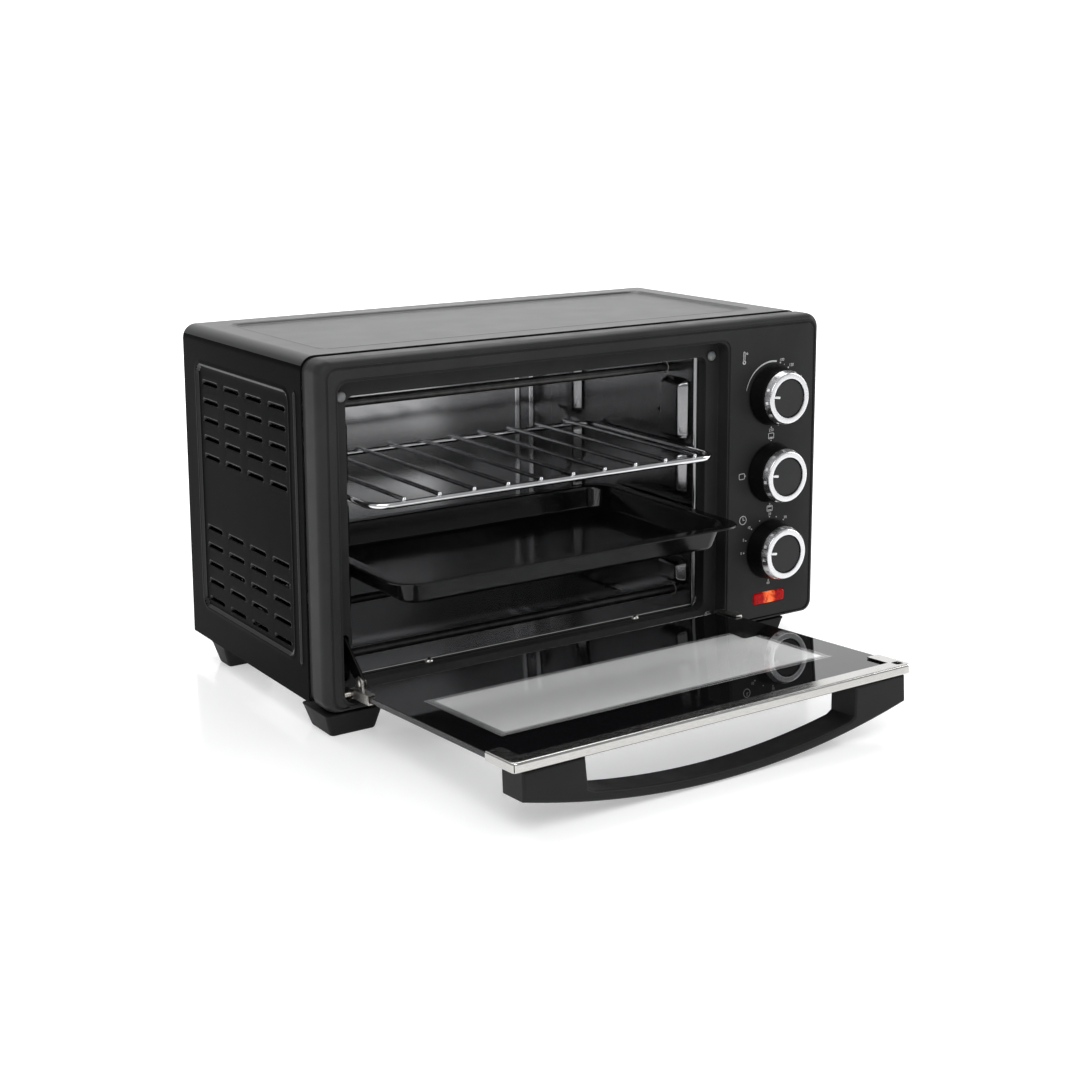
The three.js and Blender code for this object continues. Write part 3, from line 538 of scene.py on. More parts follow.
def plate(name, outlines, basis, start, end, bevel, steps=2):
    """A plate from one outline and its holes, with round edges. basis names the plane, such as XZ."""
    curve = bpy.data.curves.new(name, "CURVE")
    curve.dimensions = "2D"
    curve.fill_mode = "BOTH"
    curve.extrude = ((end - start) / 2 - bevel) * MM
    curve.bevel_depth = bevel * MM
    curve.bevel_resolution = steps
    curve.offset = -bevel * MM
    for outline in outlines:
        spline = curve.splines.new("POLY")
        spline.points.add(len(outline) - 1)
        for point, (u, v) in zip(spline.points, outline):
            point.co = (u * MM, v * MM, 0, 1)
        spline.use_cyclic_u = True
    mesh = mesh_of(name, curve)
    middle = (start + end) / 2
    for vertex in mesh.vertices:
        u, v, w = vertex.co / MM
        w += middle
        vertex.co = at(*{"XZ": (u, w, v), "YZ": (w, u, v), "XY": (u, v, w)}[basis])
    return linked(name, mesh)


def circle(x, z, radius, count=32):
    turns = [2 * math.pi * i / count for i in range(count)]
    return [(x + radius * math.cos(turn), z + radius * math.sin(turn)) for turn in turns]


def block(name, low, high):
    """A box between two opposite corners."""
    x0, y0, z0 = low
    x1, y1, z1 = high
    corners = [at(x, y, z) for x in (x0, x1) for y in (y0, y1) for z in (z0, z1)]
    faces = [(0, 1, 3, 2), (4, 6, 7, 5), (0, 4, 5, 1), (2, 3, 7, 6), (0, 2, 6, 4), (1, 5, 7, 3)]
    return new_object(name, corners, faces)


def bar(name, path, radius, closed=False, sides=12):
    """A round bar along points given in millimetres."""
    curve = bpy.data.curves.new(name, "CURVE")
    curve.dimensions = "3D"
    curve.bevel_depth = radius * MM
    curve.bevel_resolution = sides // 4
    curve.use_fill_caps = not closed
    spline = curve.splines.new("POLY")
    spline.points.add(len(path) - 1)
    for point, place in zip(spline.points, path):
        point.co = (*at(*place), 1)
    spline.use_cyclic_u = closed
    return linked(name, mesh_of(name, curve))


def joined(name, parts):
    """One object from several, each of which keeps its own closed surface."""
    work = bmesh.new()
    for part in parts:
        tidy_mesh(part.data)
        work.from_mesh(part.data)
        bpy.data.objects.remove(part)
    mesh = bpy.data.meshes.new(name)
    work.to_mesh(mesh)
    work.free()
    return linked(name, mesh)


def cut(piece, cutters):
    """Takes the cutters away from the piece."""
    tidy_mesh(piece.data)
    tool = joined(piece.name + "_cutter", cutters)
    modifier = piece.modifiers.new("Boolean", "BOOLEAN")
    modifier.operation = "DIFFERENCE"
    modifier.solver = "EXACT"
    modifier.object = tool
    apply_modifiers(piece)
    bpy.data.objects.remove(tool)
    return piece


def lines(first, last, step, extra=()):
    """Grid lines from first to last, no further apart than step, with the extra ones among them."""
    count = max(1, math.ceil((last - first) / step))
    found = {round(first + (last - first) * i / count, 3) for i in range(count + 1)}
    kept = sorted(value for value in extra if first <= value <= last)
    spare = {value for value in found if first < value < last
             and any(abs(value - other) < step * 0.45 for other in kept)}
    return sorted((found - spare) | {round(value, 3) for value in kept})


def sheet(name, us, vs, place, keep=None, thickness=1.0, inward=True):
    """A sheet of metal over a grid. place(u, v) gives its outer surface; keep(i, v) says whether there
    is metal between grid lines i and i + 1 at v."""
    points = [place(u, v) for u in us for v in vs]
    faces = []
    for i in range(len(us) - 1):
        for j in range(len(vs) - 1):
            if keep is None or keep(i, (vs[j] + vs[j + 1]) / 2):
                first = i * len(vs) + j
                faces.append((first, first + len(vs), first + len(vs) + 1, first + 1))
    piece = new_object(name, points, faces)
    work = bmesh.new()
    work.from_mesh(piece.data)
    bmesh.ops.remove_doubles(work, verts=work.verts, dist=0.01 * MM)
    loose = [vertex for vertex in work.verts if not vertex.link_faces]
    bmesh.ops.delete(work, geom=loose, context="VERTS")
    work.to_mesh(piece.data)
    work.free()
    thicken = piece.modifiers.new("Solidify", "SOLIDIFY")
    thicken.thickness = thickness * MM
    thicken.offset = -1 if inward else 1
    thicken.use_even_offset = True
    apply_modifiers(piece)
    return piece


def smooth_step(value, start, end):
    """Rises smoothly from 0 at start to 1 at end."""
    share = min(1.0, max(0.0, (value - start) / (end - start)))
    return share * share * (3 - 2 * share)


def rect_distance(a, b, a0, a1, b0, b1, radius):
    """Signed distance to a round-cornered rectangle, negative inside it."""
    da = abs(a - (a0 + a1) / 2) - (a1 - a0) / 2 + radius
    db = abs(b - (b0 + b1) / 2) - (b1 - b0) / 2 + radius
    return math.hypot(max(da, 0), max(db, 0)) + min(max(da, db), 0) - radius


# ------------------------------------------------------------------ outer cover


def pressed_panel(distance):
    """A shallow pressing with a crisp rounded rim just outside it."""
    rim = 0.35 * math.exp(-((distance - 0.6) / 1.1) ** 2)
    return rim - 1.5 * (1 - smooth_step(distance, -2.4, 0))


def louvre_depth(y, z):
    """How far the scoop above each slot is pressed in."""
    for column in LOUVRE_COLUMNS:
        across = abs(y - column)
        if across > LOUVRE_HALF:
            continue
        ends = 1 - smooth_step(across, LOUVRE_HALF - 1.8, LOUVRE_HALF)
        for row in LOUVRE_ROWS:
            up = z - (row - LOUVRE_DROP)
            if SLOT_HIGH - 0.01 <= up <= SCOOP_HIGH:
                return LOUVRE_DEPTH * ends * (1 - smooth_step(up, SLOT_HIGH, SCOOP_HIGH))
    return 0.0


def side_relief(y, z):
    """How far the side stands out from its plane."""
    panel = pressed_panel(rect_distance(y, z, *PRESSED_SIDE, 8))
    along = smooth_step(z, 22, 26) * (1 - smooth_step(z, 203, 207))
    bead = along * math.exp(-((y - BEAD_Y) / 1.3) ** 2)
    return panel + bead - louvre_depth(y, z)


def in_slot(y, z):
    return (any(abs(y - column) < LOUVRE_HALF - 0.9 for column in LOUVRE_COLUMNS)
            and any(0 < z - (row - LOUVRE_DROP) < SLOT_HIGH for row in LOUVRE_ROWS))


def rim_lines(low, high):
    """Grid lines that follow the rim of a pressing at both of its ends."""
    return [low + step for step in PRESSED_STEPS] + [high - step for step in PRESSED_STEPS]


def outer_cover():
    """One sheet, over grid lines from the left side's foot, across the top, to the right side's foot."""
    radius = COVER_CORNER
    louvre_z = [row - LOUVRE_DROP + up for row in LOUVRE_ROWS
                for up in (0, SLOT_HIGH, 1.9, 2.5, 3.2, SCOOP_HIGH)]
    louvre_y = [column + side * (LOUVRE_HALF - from_end) for column in LOUVRE_COLUMNS
                for side in (-1, 1) for from_end in (0, 0.9, 1.8, 2.6)]
    bead_y = [BEAD_Y + step for step in (-2.6, -1.6, -0.8, 0, 0.8, 1.6, 2.6)]
    side_z = lines(0, HEIGHT - radius, 9, rim_lines(*PRESSED_SIDE[2:]) + louvre_z)
    top_x = lines(-HALF_WIDTH + radius, HALF_WIDTH - radius, 22, rim_lines(*PRESSED_TOP[:2]))
    ys = lines(0, DEPTH, 8, rim_lines(*PRESSED_SIDE[:2]) + bead_y + louvre_y)
    stations = [("left", z) for z in side_z]
    stations += [("left_turn", 90 * i / 8) for i in range(1, 8)]
    stations += [("top", x) for x in top_x]
    stations += [("right_turn", 90 * i / 8) for i in range(1, 8)]
    stations += [("right", z) for z in reversed(side_z)]

    def place(station, y):
        part, value = station
        if part in ("left", "right"):
            sign = -1 if part == "left" else 1
            return at(sign * (HALF_WIDTH + side_relief(y, value)), y, value)
        if part == "top":
            return at(value, y, HEIGHT + pressed_panel(rect_distance(value, y, *PRESSED_TOP, 8)))
        sign = -1 if part == "left_turn" else 1
        angle = math.radians(value if part == "left_turn" else 90 - value)
        return at(sign * (HALF_WIDTH - radius + radius * math.cos(angle)), y,
                  HEIGHT - radius + radius * math.sin(angle))

    def keep(index, y):
        part, value = stations[index]
        next_part, next_value = stations[index + 1]
        if part not in ("left", "right") or next_part != part:
            return True
        return not in_slot(y, (value + next_value) / 2)

    cover = sheet("cover", stations, ys, place, keep, 1.0)
    cover.data.materials.append(BLACK_PAINT)
    cover.data.materials.append(SHADED_SIDE_PAINT)
    # the flat of each side takes the darker copy of the paint, which is painted shade; the pressings and
    # louvres keep the glossier paint
    for face in cover.data.polygons:
        shaded_flat_side = abs(local(face.center).x) > HALF_WIDTH - 5.5 and abs(face.normal.x) > 0.95
        face.material_index = int(shaded_flat_side)
    finish_piece(cover, BLACK_PAINT, "chassis", "painted_steel", ["outer_cover"], angle=42)


# ------------------------------------------------------------------ rear and underside


def rear_panel():
    """A sheet with raised vents, a broad pressing below them and an edge turned in to the cover."""
    edge = HALF_WIDTH - REAR_MARGIN
    low, top = REAR_MARGIN, HEIGHT - REAR_MARGIN
    rims = (0, 0.25, 0.9, 2.0)
    vent_x = [x + side * reach for x, _ in VENTS for side in (-1, 1) for reach in (22, VENT_HALF_WIDTH, 24)]
    vent_z = [z + side * reach for _, z in VENTS for side in (-1, 1) for reach in (VENT_HALF_HEIGHT, 3)]
    xs = lines(-edge, edge, 15, [-edge + rim for rim in rims] + [edge - rim for rim in rims] + vent_x)
    zs = lines(low, top, 15, [low + rim for rim in rims] + [top - rim for rim in rims] + vent_z)

    def place(x, z):
        corner_x, corner_z = edge - REAR_CORNER, top - REAR_CORNER
        if abs(x) > corner_x and z > corner_z:
            away = Vector((abs(x) - corner_x, z - corner_z))
            away *= min(1, REAR_CORNER / away.length)
            x, z = math.copysign(corner_x + away.x, x), corner_z + away.y
        inside = min(-rect_distance(x, z, -edge, edge, -30, top, REAR_CORNER), z - low)
        y = 180 if inside < 0.1 else 188.5 - 1.2 * (1 - smooth_step(inside, 0.2, 2.0))
        half = VENT_HALF_HEIGHT
        vent = min(rect_distance(x, z, vx - 24, vx + 24, vz - half, vz + half, half) for vx, vz in VENTS)
        if inside > 4:
            y += 0.9 * math.exp(-(max(vent, 0) / 1.3) ** 2)
            y -= (1 - smooth_step(rect_distance(x, z, -190, 190, 60, 118, 8), -3, 0))
        return at(x, y, z)

    def keep(index, z):
        x = (xs[index] + xs[index + 1]) / 2
        return not any(abs(x - vx) < VENT_HALF_WIDTH and abs(z - vz) < VENT_HALF_HEIGHT for vx, vz in VENTS)

    panel = sheet("rear_cover", xs, zs, place, keep, 1.0, inward=False)
    finish_piece(panel, BLACK_PAINT, "chassis", "painted_steel", ["rear_panel"], angle=42)


def rear_screws():
    for count in range(1, 5):
        node = f"rear_screw_{count}"
        x, _, z = centre_of(node)
        profile = [(0, 182), (1.2, 183), (1.4, 183.5), (1.4, 188.8), (3.6, 188.8), (3.6, 189.4),
                   (3.3, 190.2), (2.4, 190.7), (1.2, 190.9), (0, 190.9)]
        head = lathe(node + "_head", profile, (x, 0, z), sides=32)
        turn = math.radians(20 * count)
        blades = []
        for quarter in (0, 90):
            angle = turn + math.radians(quarter)
            across = Vector((math.cos(angle), math.sin(angle))) * 1.7
            wide = Vector((-math.sin(angle), math.cos(angle))) * 0.35
            corners = [(x + a * across.x + b * wide.x, z + a * across.y + b * wide.y)
                       for a, b in ((-1, -1), (1, -1), (1, 1), (-1, 1))]
            rings = [[at(cx, y, cz) for cx, cz in corners] for y in (189.6, 192)]
            blades.append(skin("blade", rings))
        for blade in blades:
            cut(head, [blade])
        finish_piece(head, BRIGHT_STEEL, "chassis", "bright_steel", [node], angle=30)


def cord_gland():
    x, _, z = centre_of("cord_gland")
    flange = [(3.6, 184), (5.8, 184), (5.8, 186), (8, 186), (8, 187.2), (6, 187.2), (6, 188.8),
              (9, 188.8), (9, 190.5), (6.6, 191)]
    ribs = [(6.6 - 0.16 * i - (0.5 if i % 2 else 0), 191.4 + 0.65 * i) for i in range(10)]
    gland = lathe("supply_gland", flange + ribs + [(4.9, 198), (3.6, 198)], (x, 0, z), sides=40)
    finish_piece(gland, HANDLE_PLASTIC, "chassis", "black_plastic", ["cord_gland"], bevel=0.15)


def feet():
    for name in ("front_left", "front_right", "rear_left", "rear_right"):
        node = f"foot_{name}"
        low, high = (local(corner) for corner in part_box(node))
        top = -2.8 if name.startswith("front") else -2.0
        # each level is inset at the sides, the front and the back, at a height, with a corner radius
        levels = [(5, 3, 5, FLOOR_Z, 2.5), (4.2, 2.4, 4.2, FLOOR_Z + 1.2, 3),
                  (0.4, 0.3, 0.4, top - 1.5, 3), (0, 0, 0, top - 0.9, 2.6), (0, 0, 0, top, 2.6)]
        rings = []
        for side, front, back, z, radius in levels:
            outline = round_rect(low.x + side, high.x - side, low.y + front, high.y - back, radius)
            rings.append([at(x, y, z) for x, y in outline])
        block_part = skin(node + "_block", rings)
        stud = lathe(node + "_stud", [(0, top - 0.5), (5, top - 0.5), (5, -0.3), (0, -0.3)],
                     ((low.x + high.x) / 2, high.y - 6.5, 0), "Z", 32)
        foot = joined(node + "_moulding", [block_part, stud])
        finish_piece(foot, FOOT_PLASTIC, "chassis", "black_plastic", [node], bevel=0.7, segments=3,
                     angle=30)


# ------------------------------------------------------------------ front frame


def front_ring(rect, inset, y, radius, bottom=None):
    """A round-cornered ring at depth y, inset from a rectangle, by bottom instead at its lower edge."""
    x0, x1, z0, z1 = rect
    low = inset if bottom is None else bottom
    return [at(x, y, z) for x, z in round_rect(x0 + inset, x1 - inset, z0 + low, z1 - inset, radius, 8)]


def frame_section():
    """The frame's rings, from the cover over the rounded edge, the face and the recess, and back behind."""
    body = (-HALF_WIDTH, HALF_WIDTH, -2.5, HEIGHT - 0.2)
    recess = (RECESS["x0"], RECESS["x1"], RECESS["z0"], RECESS["z1"])
    opening = (OPENING["x0"], OPENING["x1"], OPENING["z0"], OPENING["z1"])
    rings = []

    def ring(rect, inset, y, radius, bottom=None):
        rings.append(front_ring(rect, inset, y, radius, bottom))

    for inset, y in ((1.2, -0.4), (1.2, -5.5), (0.9, -6.2), (0.2, -6.6), (0, -7.2), (0, -17.6)):
        ring(body, inset, y, 9)
    for i in range(1, 9):
        angle = math.radians(90 * i / 8)
        inset = 4.6 * (1 - math.cos(angle))
        ring(body, inset, -17.6 - 8.4 * math.sin(angle), 9 - 0.4 * inset, 0.6 * inset)
    for inset, y in ((4.9, -25.9), (5.2, -25.0), (6.2, -25.0), (6.5, -25.7), (6.8, PANEL_Y)):
        ring(body, inset, y, 7, 0.6 * inset)
    for outset, y in ((2.1, PANEL_Y), (1.8, -25.7), (1.7, -25.0), (0.8, -25.0), (0.5, -25.5),
                      (0.2, -25.5), (0, -25.2), (0, -15), (-0.3, -14.3), (-1, RECESS["floor"])):
        ring(recess, -outset, y, 8 + min(outset, 0))
    for outset, y in ((1.0, -14), (0.3, -13.75), (0, -13.1), (0, -5.3), (0.3, -5), (1.2, -5), (1.5, -5.3),
                      (1.5, -12)):
        ring(opening, -outset, y, 6 + outset)
    ring(recess, -2, -12, 10, -0.4)
    ring(recess, -3, -23, 11, -0.4)
    ring(body, 7.4, -23, 6, 4.3)
    ring(body, 2.8, -17, 6.5, 1.7)
    ring(body, 2.8, -0.4, 6.5, 1.7)
    return rings


def through(name, outline, front, back):
    """A cutter with the given (x, z) outline, from front to back."""
    return skin(name, [[at(x, y, z) for x, z in outline] for y in (front, back)])


def rod_cutter(name, radius, start, end, centre, axis):
    return lathe(name, [(0, start), (radius, start), (radius, end), (0, end)], centre, axis, 24)


def front_frame():
    """The moulded front: hinge slots and pin holes, the link's slot, the lens hole and the shaft holes."""
    shell = skin("frame_shell", frame_section(), closed=True)
    cutters = []
    for side in (-1, 1):
        slot_x = DOOR_X + side * 152.3
        slots = [(3.4, 10.5, 3.5, 3.4)]
        if side < 0:
            slots.append((14, 46, 3, 2.9))  # the link arm passes here
        for low, high, half, radius in slots:
            outline = round_rect(slot_x - half, slot_x + half, low, high, radius)
            cutters.append(through("slot", outline, -16, -11))
        wall = RECESS["x0"] if side < 0 else RECESS["x1"]
        cutters.append(rod_cutter("pin_hole", 2.4, -4, 4, (wall, HINGE.y, HINGE.z), "X"))
    low, high = (local(corner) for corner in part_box("indicator_lens"))
    outline = round_rect(low.x - 0.3, high.x + 0.3, low.z - 0.3, high.z + 0.3, 2.3)
    cutters.append(through("lens_hole", outline, -28, -22))
    for z in KNOB_HEIGHTS.values():
        cutters.append(rod_cutter("shaft_hole", 4.5, -28, -20, (KNOB_X, 0, z), "Y"))
    cut(shell, cutters)
    finish_piece(shell, FRAME_PLASTIC, "chassis", "frame_black", ["front_frame"], angle=30)


def bumpers():
    for name in ("left", "right"):
        node = f"door_bumper_{name}"
        x, _, z = centre_of(node)
        profile = [(0, -14.3), (3.3, -14.3), (3.6, -14.6), (3.55, -15.2), (3.2, -15.8), (2.4, -16.15),
                   (1.2, -16.28), (0, -16.3)]
        pad = lathe(node + "_pad", profile, (x, 0, z), sides=40)
        finish_piece(pad, SILICONE, "chassis", "soft_bumper", [node], angle=50)


# ------------------------------------------------------------------ cooking space


def guide_height(y, z):
    """How far the pressed guides stand into the oven from its side wall."""
    height = 0.0
    for y0, y1 in BOSS_COLUMNS:
        for z0, z1 in BOSS_ROWS:
            distance = rect_distance(y, z, y0, y1, z0, z1, 6)
            height = max(height, BOSS_DEPTH * (1 - smooth_step(distance, -BOSS_SLOPE, 0)))
    return height


def slope_lines(spans):
    """Grid lines that follow the slopes at both ends of each span."""
    steps = (0, 1.1, 2.2, 3.3, BOSS_SLOPE, 6)
    starts = [low + step for low, _ in spans for step in steps]
    return starts + [high - step for _, high in spans for step in steps]


def cavity_wall(side, name):
    """A side wall with its pressed guides, its bend behind the frame's opening, and its holes."""
    wall_x = CAVITY["x0"] if side < 0 else CAVITY["x1"]
    front = CAVITY["front"]
    bend = [(-3.2, 0.0), (-1.6, 0.0), (-0.7, 0.3), (-0.15, 0.9), (0.0, 1.7)]
    us = [("bend", out, y) for out, y in bend]
    us += [("flat", 0, y) for y in lines(front + 3.5, CAVITY["back"], 9, slope_lines(BOSS_COLUMNS))]
    zs = lines(CAVITY["floor"] + 0.3, CAVITY["top"], 9, slope_lines(BOSS_ROWS))

    def place(station, z):
        kind, out, y = station
        if kind == "bend":
            reach = out if z > CAVITY["floor"] + 12 else 0
            return at(wall_x - side * reach, front + y, z)
        return at(wall_x - side * guide_height(y, z), y, z)

    inner = sheet(f"oven_wall_{name}", us, zs, place, None, 0.8, inward=side > 0)
    holes = []
    for rod in RODS:
        _, y, z = centre_of(f"heating_element_{rod}")
        holes.append(rod_cutter("rod_hole", 4.6, -6, 6, (wall_x, y, z), "X"))
    hexagon = circle(PEEP_HOLE["y"], PEEP_HOLE["z"], PEEP_HOLE["radius"], 6)
    holes.append(skin("peep_hole", [[at(x, y, z) for y, z in hexagon] for x in (wall_x - 4, wall_x + 4)]))
    cut(inner, holes)
    finish_piece(inner, OVEN_SHEET, "chassis", "galvanised_sheet", [f"cavity_{name}_wall"], angle=50)


def cavity_ceiling():
    """The ceiling, with two ribs across it."""
    xs = lines(DOOR_X - SHEET_HALF, DOOR_X + SHEET_HALF, 12)
    ys = lines(CAVITY["front"], CAVITY["back"], 7)

    def place(x, y):
        rib = sum(math.exp(-((y - line) / 5) ** 2) for line in (62, 98))
        inside = 1 - smooth_step(abs(x - DOOR_X), 115, 128)
        return at(x, y, CAVITY["top"] + 0.35 + 0.7 * rib * inside)

    roof = sheet("oven_ceiling", xs, ys, place, None, 0.8, inward=False)
    finish_piece(roof, GALVANISED, "chassis", "galvanised_sheet", ["cavity_ceiling"], angle=50)


def cavity_rear_wall():
    """The rear wall, with two upright ribs."""
    rib_lines = [rib + step for rib in REAR_RIBS for step in (-3, -2, -1, 0, 1, 2, 3)]
    xs = lines(DOOR_X - SHEET_HALF, DOOR_X + SHEET_HALF, 14, rib_lines)
    zs = lines(CAVITY["floor"] + 0.3, CAVITY["top"] + 1.3, 12, (10, 12, 14, 194, 196, 198))

    def place(x, z):
        rib = sum(math.exp(-((x - line) / 1.3) ** 2) for line in REAR_RIBS)
        length = smooth_step(z, 8, 14) * (1 - smooth_step(z, 194, 200))
        return at(x, CAVITY["back"] + 0.3 - 1.7 * rib * length, z)

    wall = sheet("oven_rear_wall", xs, zs, place, None, 0.8, inward=False)
    finish_piece(wall, GALVANISED, "chassis", "galvanised_sheet", ["cavity_rear_wall"], angle=50)


def cavity_floor():
    """The floor sheet turns up at the front into a lip; a bright plated bar along its hem is a painted
    highlight.
    """
    half = 148.3
    wing = 4
    section = [(-2.0, 2.0), (-4.4, 2.6), (-4.8, 3.4), (-4.8, 14.6), (-4.6, 15.1), (-4.2, 15.3),
               (-3.8, 15.1), (-3.6, 14.6), (-3.6, 5.2), (-3.2, 4.2), (-2.2, 3.7), (60, 3.7), (64, 4.5),
               (68, 4.9), (72, 4.5), (76, 3.7), (184, 3.7), (184, 2.7), (60, 2.7)]
    rings = [[at(x, y, z) for y, z in section] for x in (DOOR_X - half + wing, DOOR_X + half - wing)]
    parts = [skin("floor_pan", rings)]
    for left in (DOOR_X - half, DOOR_X + half - wing):
        parts.append(block("wing", (left, -2, 2.7), (left + wing, 184, 3.7)))
    floor_piece = joined("oven_floor", parts)
    finish_piece(floor_piece, OVEN_SHEET, "chassis", "galvanised_sheet", ["cavity_floor"], bevel=0.12)
    # painted highlight: a bright plated bar along the lip's hem
    hem_highlight = bar("floor_hem_painted_highlight", [(DOOR_X - 144, -4.2, 14.7), (DOOR_X + 144, -4.2, 14.7)], 0.85)
    finish_piece(hem_highlight, PLATED_TRIM, "chassis", "bright_steel")
    for count, x in enumerate((-121.6, 53.5), 1):
        profile = [(0, -4.7), (3.2, -4.7), (3.2, -5.5), (2.6, -6.6), (1.2, -7.2), (0, -7.2)]
        head = lathe(f"lip_screw_{count}", profile, (x, 0, 12.2), sides=28)
        finish_piece(head, BRIGHT_STEEL, "chassis", "bright_steel", angle=40)


def heating_elements():
    """Each tube has a terminal pin at both ends, and a collar just inside each wall."""
    for rod in RODS:
        node = f"heating_element_{rod}"
        _, y, z = centre_of(node)
        left_half = [(0, -162), (1.5, -161.6), (1.5, -155), (2.6, -155), (3.2, -154.2), (3.2, -140),
                     (3.35, -139), (3.35, -136), (3.2, -135)]
        profile = left_half + [(radius, -along) for radius, along in reversed(left_half)]
        tube = lathe(node + "_tube", profile, (DOOR_X, y, z), "X", 32)
        finish_piece(tube, HEATER, "chassis", "heater_tube", [node], angle=50)
        for side, name in ((-1, "left"), (1, "right")):
            bush_ends = [(3.5, 143.5), (4.3, 143.5), (4.3, 145.8), (6.5, 145.8), (6.5, 150), (3.5, 150)]
            profile = [(radius, side * along) for radius, along in bush_ends]
            node = f"insulator_{rod}_{name}"
            bush = lathe(node + "_bush", profile, (DOOR_X, y, z), "X", 32)
            finish_piece(bush, CERAMIC, "chassis", "ceramic", [node], bevel=0.4)


# ------------------------------------------------------------------ rack and tray


def wire_rack():
    """A round-cornered rail, with straight wires welded on top whose ends are domed."""
    low, high = (local(corner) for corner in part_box("wire_rack"))
    radius = 2.3
    z = low.z + radius
    outline = round_rect(low.x + radius, high.x - radius, low.y + radius, high.y - radius, 14, 10)
    rail = bar("rack_rail", [(x, y, z) for x, y in outline], radius, closed=True, sides=16)
    finish_piece(rail, PLATED_WIRE, "rack", "chrome_wire", ["wire_rack"], angle=50)
    for i in range(RACK_WIRES):
        x = DOOR_X + (i - (RACK_WIRES - 1) / 2) * RACK_PITCH
        front, back = low.y + 0.1, high.y - 0.1
        dome = [(0, front), (0.8, front + 0.12), (1.3, front + 0.5), (1.5, front + 1.1)]
        profile = dome + [(1.5, back - 1.1), (1.3, back - 0.5), (0.8, back - 0.12), (0, back)]
        wire = lathe(f"rack_wire_{i + 1}", profile, (x, 0, z + radius + 1), "Y", 20)
        finish_piece(wire, PLATED_WIRE, "rack", "chrome_wire", angle=50)


def baking_tray():
    """A pan of one sheet: rings down its inside, a flat bottom, and rings back up its outside."""
    low, high = (local(corner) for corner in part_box("baking_tray"))
    # each ring is inset from the rim, at a height below its top, with a corner radius
    inside = [(0.1, -1.3, 18), (0, -0.7, 18), (0.3, -0.2, 18), (0.9, 0, 18), (7.6, 0, 16),
              (8.6, -0.25, 16), (9.2, -0.9, 16), (10.2, -3.2, 15), (13.8, -14.6, 13), (14.6, -16.2, 12),
              (16, -17, 11), (19, -17.2, 10), (45, -17.1, 9)]
    outside = [(45, -18, 9), (19, -18, 10), (15.4, -17.9, 11), (13.8, -17, 12), (12.9, -15, 13),
               (9.3, -3.5, 15), (8.4, -1.5, 16), (7.6, -1, 16), (1.3, -1, 18), (0.9, -1.4, 18)]
    rows = []
    for inset, down, radius in inside + outside:
        outline = round_rect(low.x + inset, high.x - inset, low.y + inset, high.y - inset, radius, 8)
        rows.append([at(x, y, high.z + down) for x, y in outline])
    count = len(rows[0])
    bottom = len(inside) - 1
    faces = []
    for ring in range(len(rows)):
        if ring == bottom:
            continue
        first, second = ring * count, (ring + 1) % len(rows) * count
        for i in range(count):
            after = (i + 1) % count
            faces.append((first + i, first + after, second + after, second + i))
    for ring in (bottom, bottom + 1):
        faces.append(tuple(range(ring * count, (ring + 1) * count)))
    tray = new_object("tray_pan", [point for ring in rows for point in ring], faces)
    finish_piece(tray, ENAMEL, "tray", "black_enamel", ["baking_tray"], angle=45)


# ------------------------------------------------------------------ door, drawn closed


def on_door(piece, material, slot, replaces=(), **options):
    """Finishes a piece drawn with the door closed, and opens it with the door."""
    return finish_piece(piece, material, "door", slot, replaces, place=DOOR_PLACE, **options)


def door_glass():
    outline = round_rect(DOOR_X - GLASS["half"], DOOR_X + GLASS["half"], GLASS["z0"], GLASS["z1"], 3)
    pane = plate("door_pane", [outline], "XZ", GLASS["outer"], GLASS["inner"], 0.35)
    on_door(pane, DOOR_GLASS, "door_glass", ["door_glass"], angle=30)


def glass_edge_highlight():
    """A plated bar along the glass's hinge-side edge, a painted highlight for the pale line that the ground
    and polished edge shows.
    """
    ends = [(DOOR_X + reach, GLASS["inner"] - 0.25, GLASS["z0"] + 0.1) for reach in (-143, 143)]
    # painted highlight: a bright plated bar along the glass's edge
    edge = bar("painted_glass_edge_highlight", ends, 0.5)
    on_door(edge, PLATED_TRIM, "door_glass", angle=50)


def trim_channel():
    """A channel round the glass's free edge, cut away in the middle so that its ends wrap the corners."""
    half = GLASS["half"] + 1.3
    top = GLASS["z1"] + 1.3
    outline = round_rect(DOOR_X - half, DOOR_X + half, GLASS["z1"] - 33, top, 4)
    trim = plate("door_trim", [outline], "XZ", GLASS["outer"] - 1.3, GLASS["inner"] + 1.3, 1.6, 5)
    slot_half = GLASS["half"] + 0.3
    cutters = [
        block("glass_slot", (DOOR_X - slot_half, GLASS["outer"] - 0.3, 150),
              (DOOR_X + slot_half, GLASS["inner"] + 0.3, GLASS["z1"] + 0.3)),
        block("middle", (DOOR_X - 144, -40, 150), (DOOR_X + 144, 0, GLASS["z1"] - 10)),
        block("below_sides", (DOOR_X - 170, -41, 149), (DOOR_X + 170, 1, GLASS["z1"] - 29)),
    ]
    for cutter in cutters:
        cut(trim, [cutter])
    for side in (-1, 1):
        x = DOOR_X + side * 148.5
        outline = round_rect(x - 3, x + 3, GLASS["z1"] - 9, GLASS["z1"] - 2.6, 1.5)
        cut(trim, [through("notch", outline, GLASS["inner"] - 0.2, -12)])
    on_door(trim, PLATED_TRIM, "chrome_trim", ["door_trim_channel"], angle=35)


